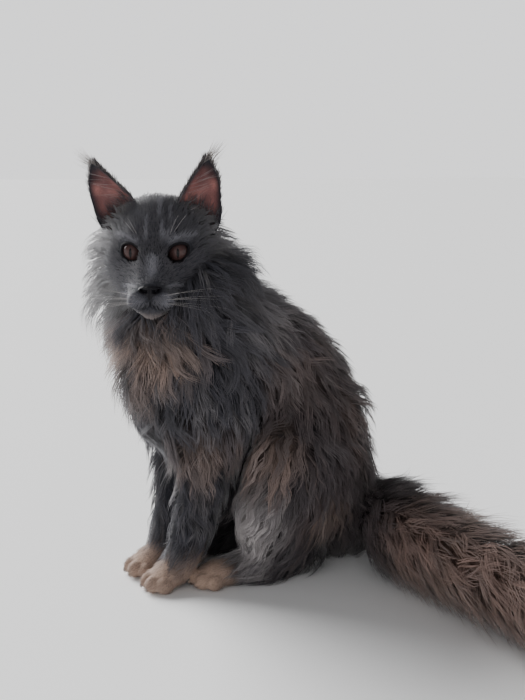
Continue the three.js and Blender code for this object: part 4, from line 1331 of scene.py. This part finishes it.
# a tuft's length where the coat has no depth, and what each millimetre of depth adds
FACE_HAIR, FACE_HAIR_GAIN = 4.5, 1.1
RUFF_RISE, RUFF_LENGTH = 0.55, 0.3  # how much higher and longer the tufts under the cheeks are
CURL, CURL_TURN = 0.09, 5.5  # a long tuft's waves, of its length, and their turn along it
FUR_SAG = 0.3  # how far a long tuft's tip hangs, of its length
CHEEK_ASH = 0.14
head_triangles = halved(ring_faces(*HEAD_SHAPE))
head_depth = head_coat.reshape(-1)
flat_face = face_points.reshape(-1, 3)
head_map = np.stack(np.meshgrid(
    np.linspace(0, 1, HEAD_SHAPE[0]), np.arange(HEAD_SHAPE[1]) / HEAD_SHAPE[1], indexing="ij",
), -1).reshape(-1, 2)
middle = flat_face[head_triangles].mean(1)
across, up = np.abs(middle[:, 0]), middle[:, 2] - NOSE_HEIGHT
_, above, below = NOSE_LEATHER
# no fur grows on the nose leather, along the lips or over the eyes
bare = (across < nose_width(-up / below)) & (up < above) & (up > -below) & (middle[:, 1] < -40)
bare |= (line_distance(across, middle[:, 2], LIP_LINE) < 1.2) & (middle[:, 1] < -30)
for side in (1, -1):
    place = in_eye(middle, side)
    bare |= (almond_measure(place[:, 0], place[:, 2]) < 1.22) & (place[:, 1] < 2)
neck_side = (on_head(middle)[:, 2] < 268) & (middle[:, 1] > -10)
long_fur = step_up(head_depth[head_triangles].mean(1), 4, 12)
# piece: where it grows, tufts, steps, tufts in a lock, how firmly they gather, and root shade
HEAD_FUR = {
    "coat_face": ((1 - long_fur) * ~bare, 17500, 2, 6, 0.15, 0.95),
    "coat_cheeks": (long_fur * ~bare * np.where(neck_side, 0.5, 1), 9500, 3, 12, 0.3, 0.8),
}
face_material = hair_material("short face fur", 0.7, 0.3, 0.05)
for name, (weight, count, steps, lock, firm, root_shade) in HEAD_FUR.items():
    count //= SPARSER
    roots, normal, pick, share = scatter(flat_face, head_triangles, weight, count)
    thick = (head_depth[head_triangles[pick]] * share).sum(1)
    middles = chance.choice(count, count * SPARSER // lock, replace=False)
    root, out, deep, locks = roots[middles], normal[middles], thick[middles], len(middles)
    lie = unit(root - NOSE_TIP) + [0, 0.2, 0] - np.outer(step_up(deep, 8, 24), [0, 0, 0.8])
    lie = along_skin(lie, out)
    length = (FACE_HAIR + FACE_HAIR_GAIN * deep) * chance.uniform(0.85, 1.15, locks)
    rise = (0.2 + deep * (0.16 + 0.76 * step_up(deep, 6, 22))) * chance.uniform(0.8, 1.15, locks)
    ruff = step_up(-root[:, 2], -10, 20) * step_up(deep, 10, 20)
    rise = (rise * (1 + RUFF_RISE * ruff))[:, None, None]
    length = (length * (1 + RUFF_LENGTH * ruff))[:, None, None]
    way = np.linspace(0, 1, LEADER_STEPS + 1)[:, None]
    phase = chance.uniform(0, 2 * np.pi, (locks, 1, 1))
    wave = np.sin(CURL_TURN * way + phase) - np.sin(phase)
    curl = CURL * step_up(deep, 4, 16)[:, None, None] * wave
    bent = chance.normal(0, 0.08, (locks, 1, 1)) * way
    aside = np.cross(out, lie)[:, None]
    leader = root[:, None] + length * (way * lie[:, None] + (curl + bent) * aside)
    leader = leader + rise * (1 - (1 - way) ** 2) * out[:, None]
    leader[..., 2] -= FUR_SAG * (length * way**2)[..., 0] * step_up(deep, 6, 18)[:, None]
    outs = np.broadcast_to(out[:, None], leader.shape)
    spread = 0.05 + 0.07 * thick
    spine, outs, owner, loose = in_locks(roots, middles, leader, outs, firm, spread, steps)
    place = (head_map[head_triangles[pick]] * share[..., None]).sum(1) * 0.98
    tint = mixed(face_marking_and_shade(roots), ASH, CHEEK_ASH * step_up(thick, 8, 24))
    tint *= chance.uniform(0.95, 1.05, (count, 1)) * chance.uniform(0.92, 1.08, (locks, 1))[owner]
    width = FACE_WIDTH * (1 + 0.02 * thick) * chance.uniform(0.7, 1.2, count) * WIDER
    piece = coat_piece(
        name, on_head(spine), outs @ HEAD_POSE.T, width * np.where(loose, 0.7, 1), tint, place,
        face_material, root_shade, 0.12, 0.22,
    )


# The ears' fur: short behind and along the rims, dark at the foot of the bowls, long pale hairs
# that sweep out across them, and a tuft of longer hair on each tip.

EAR_PLACES = 200  # the heights at which hairs may be rooted
EAR_UPWARD = unit(np.array([0.35, 0, 1]))
# kind: hairs, length, width, how far up the ear and across it (from, range, power), the face that
# they grow on (1 behind, -1 inside, 0 either), their lean, its spread, how far they stand off,
# and their colour
EAR_FUR = {
    "back": (1100, 8, 0.7, (0, 1, 1), (0, 1, 1), 1, EAR_UPWARD, 0.15, 2.2, SLATE_BACK),
    "base": (
        420, 14, 0.5, (0, 0.32, 1.3), (0, 1, 1), -1, EAR_UPWARD + [0.1, -0.3, 0], 0.2, 3, SLATE,
    ),
    "furnishing": (
        14, 32, 0.2, (0.02, 0.6, 1.3), (0.03, 0.2, 1), -1, [1, -0.25, 0.35], 0.16, 6,
        paint("8d8482"),
    ),
    "tip": (
        60, 24, 0.3, (0.86, 0.12, 1), (0, 1, 1), 0, [0.62, 0.1, 0.6], 0.13, 1, paint("8d8580"),
    ),
}


def spread_out(count, low, span, power):
    """Random numbers from low to low + span, crowded towards low by a power."""
    return low + span * chance.uniform(0, 1, count) ** power


for side_name, side in SIDES:
    kinds = []
    for kind, (count, length, width, up, over, facing, lean, loose, lift, tint) in EAR_FUR.items():
        height, across = spread_out(count, *up), spread_out(count, *over)
        sizes = length * chance.uniform(0.6, 1.15, count)
        if kind == "back":
            across = 0.5 - 0.5 * np.cos(np.pi * across)
        sheet, behind = ear_sheet(np.linspace(0, 1, EAR_PLACES), across, np.zeros((EAR_PLACES, 1)))
        row = np.minimum((height * (EAR_PLACES - 1)).astype(int), EAR_PLACES - 1)
        root, rear = sheet[row, np.arange(count)], behind[row, np.arange(count)]
        out = rear * (facing or np.where(chance.random((count, 1)) < 0.5, 1, -1))
        lie = unit(lean + chance.normal(0, loose, (count, 3)))
        way = np.linspace(0, 1, 3)[:, None]
        spine = root[:, None] + sizes[:, None, None] * way * lie[:, None]
        stand = chance.uniform(0.6, 1, (count, 1, 1))
        spine = spine + lift * np.sqrt(way) * out[:, None] * stand
        spine[:, 0] = root
        kinds.append((
            spine, np.broadcast_to(out[:, None], spine.shape),
            width * chance.uniform(0.7, 1.2, count), tint * chance.uniform(0.75, 1.25, (count, 1)),
            np.stack([height, across], -1) * 0.95,
        ))
    spine, out, widths, tints, places = (np.concatenate(column) for column in zip(*kinds))
    piece = coat_piece(
        f"coat_ear_{side_name}", on_head(ear_place(spine, EAR_LEAN[side_name], side)),
        (out * [side, 1, 1]) @ HEAD_POSE.T, widths, tints, places, face_material, 0.8, 0.2,
        soft=False,
    )


# The whiskers: long stiff white hairs in three rows on each pad beside the nose, and two over
# each eye. Each bends down a little under its own weight.

WHISKER_ROWS = [(-24, 2), (-27, 3), (-30, 3)]  # height, whiskers
WHISKER_LENGTH, BROW_LENGTH = 58, 34
WHISKER_THICKNESS = 0.2
WHISKER_SAG, WHISKER_SWEEP = 0.16, 0.22  # how far a tip bends down and back, of its length
WHISKER_WHITE = paint("a9a4a2")
hairs = []  # place across and up, direction, length
for row, (up, count) in enumerate(WHISKER_ROWS):
    for k in range(count):
        length = WHISKER_LENGTH * (0.72 + 0.1 * k)
        way = (1, -0.28 + 0.2 * k, 0.3 - 0.16 * row)
        hairs.append((10.5 + 3.6 * k + 0.8 * (row % 2), up, *way, length))
for k in range(2):
    way = (0.35 + 0.2 * k, -0.45, 0.9)
    hairs.append((14 + 3 * k, 24 + 1.5 * k, *way, BROW_LENGTH * (0.8 + 0.12 * k)))
hairs = np.array(hairs)
across, up = hairs[:, :2].T
root = np.stack([across, face_depth(across, up) + 0.5, up], -1)
way = np.linspace(0, 1, 12)[:, None]
reach = hairs[:, None, 5:] * chance.uniform(0.85, 1.1, (len(hairs), 1, 1))
spine = root[:, None] + unit(hairs[:, 2:5])[:, None] * reach * way
spine[..., 2] -= WHISKER_SAG * (reach * way**2)[..., 0]
spine[..., 1] += WHISKER_SWEEP * (reach * way**2)[..., 0]
both = np.concatenate([spine, spine * [-1, 1, 1]])
thickness = np.full(len(both), WHISKER_THICKNESS)
points, faces, *_ = blades(
    on_head(both), np.broadcast_to([0.0, 0, 1], both.shape), thickness, 0.8 * thickness,
)
whiskers = make_piece(
    "whiskers", points, faces, hair_material("whisker", 0.3, 0, 0),
    tint=np.broadcast_to(WHISKER_WHITE, points.shape),
)
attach(whiskers, "root")


# The floor, the light and the camera: a pale floor that runs into a pale room, a strong soft
# light from far away at the cat's right, a weak one from its front left, and a view level with
# the ears.

FLOOR_REACH = 40  # metres, as are the camera's places
# the room is palest near its floor: the sine of the height where its light fades, and its strength
ROOM_FADE = {
    "From Min": np.sin(np.radians(10)), "From Max": np.sin(np.radians(26)),
    "To Min": 1.45, "To Max": 0.2,
}
CAMERA_PLACE = (0.8148, -0.5291, 0.385)
CAMERA_HEADING = (-0.8663, 0.5003)
CAMERA_PITCH = np.radians(10.4)
FOCAL_PIXELS, PICTURE_HEIGHT = 980, 700
SENSOR_WIDTH = 36

floor_mesh = bpy.data.meshes.new("floor")
floor_corners = [(-1, -1, 0), (1, -1, 0), (1, 1, 0), (-1, 1, 0)]
floor_mesh.from_pydata(FLOOR_REACH * np.array(floor_corners, float), [], [(0, 1, 2, 3)])
floor_mesh.materials.append(new_material("pale floor", {
    "Base Color": (0.93, 0.93, 0.93, 1), "Roughness": 0.8,
}))
floor = shown("floor", floor_mesh)


def turned_to(thing, way):
    """Turns a lamp or camera to shine or look along a direction."""
    thing.rotation_euler = Vector(way).to_track_quat("-Z", "Y").to_euler()


def soft_light(name, way, strength, spread):
    """A soft light from far away, that shines along a direction and is spread by an angle."""
    data = bpy.data.lights.new(name, "SUN")
    data.energy, data.angle = strength, np.radians(spread)
    turned_to(shown(name, data), way)


soft_light("strong light", (2.5, 0.75, -1.45), 6.9, 45)
soft_light("weak light", (-1.3, 1.1, -1.1), 0.35, 60)
world = bpy.data.worlds.new("pale room")
bpy.context.scene.world = world
world.use_nodes = True
nodes = wired(world, {
    "place": ("TexCoord", {}),
    "split": ("SeparateXYZ", {}),
    "fade": ("MapRange", ROOM_FADE),
}, [
    ("place", "Generated", "split", "Vector"),
    ("split", "Z", "fade", "Value"),
    ("fade", "Result", "Background", "Strength"),
])
nodes["Background"].inputs["Color"].default_value = (0.95, 0.95, 0.96, 1)

camera_data = bpy.data.cameras.new("camera")
camera_data.sensor_width = SENSOR_WIDTH
camera_data.lens = SENSOR_WIDTH * FOCAL_PIXELS / PICTURE_HEIGHT
camera = shown("camera", camera_data)
camera.location = CAMERA_PLACE
level = np.cos(CAMERA_PITCH) * np.array(CAMERA_HEADING)
turned_to(camera, (*level, -np.sin(CAMERA_PITCH)))
bpy.context.scene.camera = camera
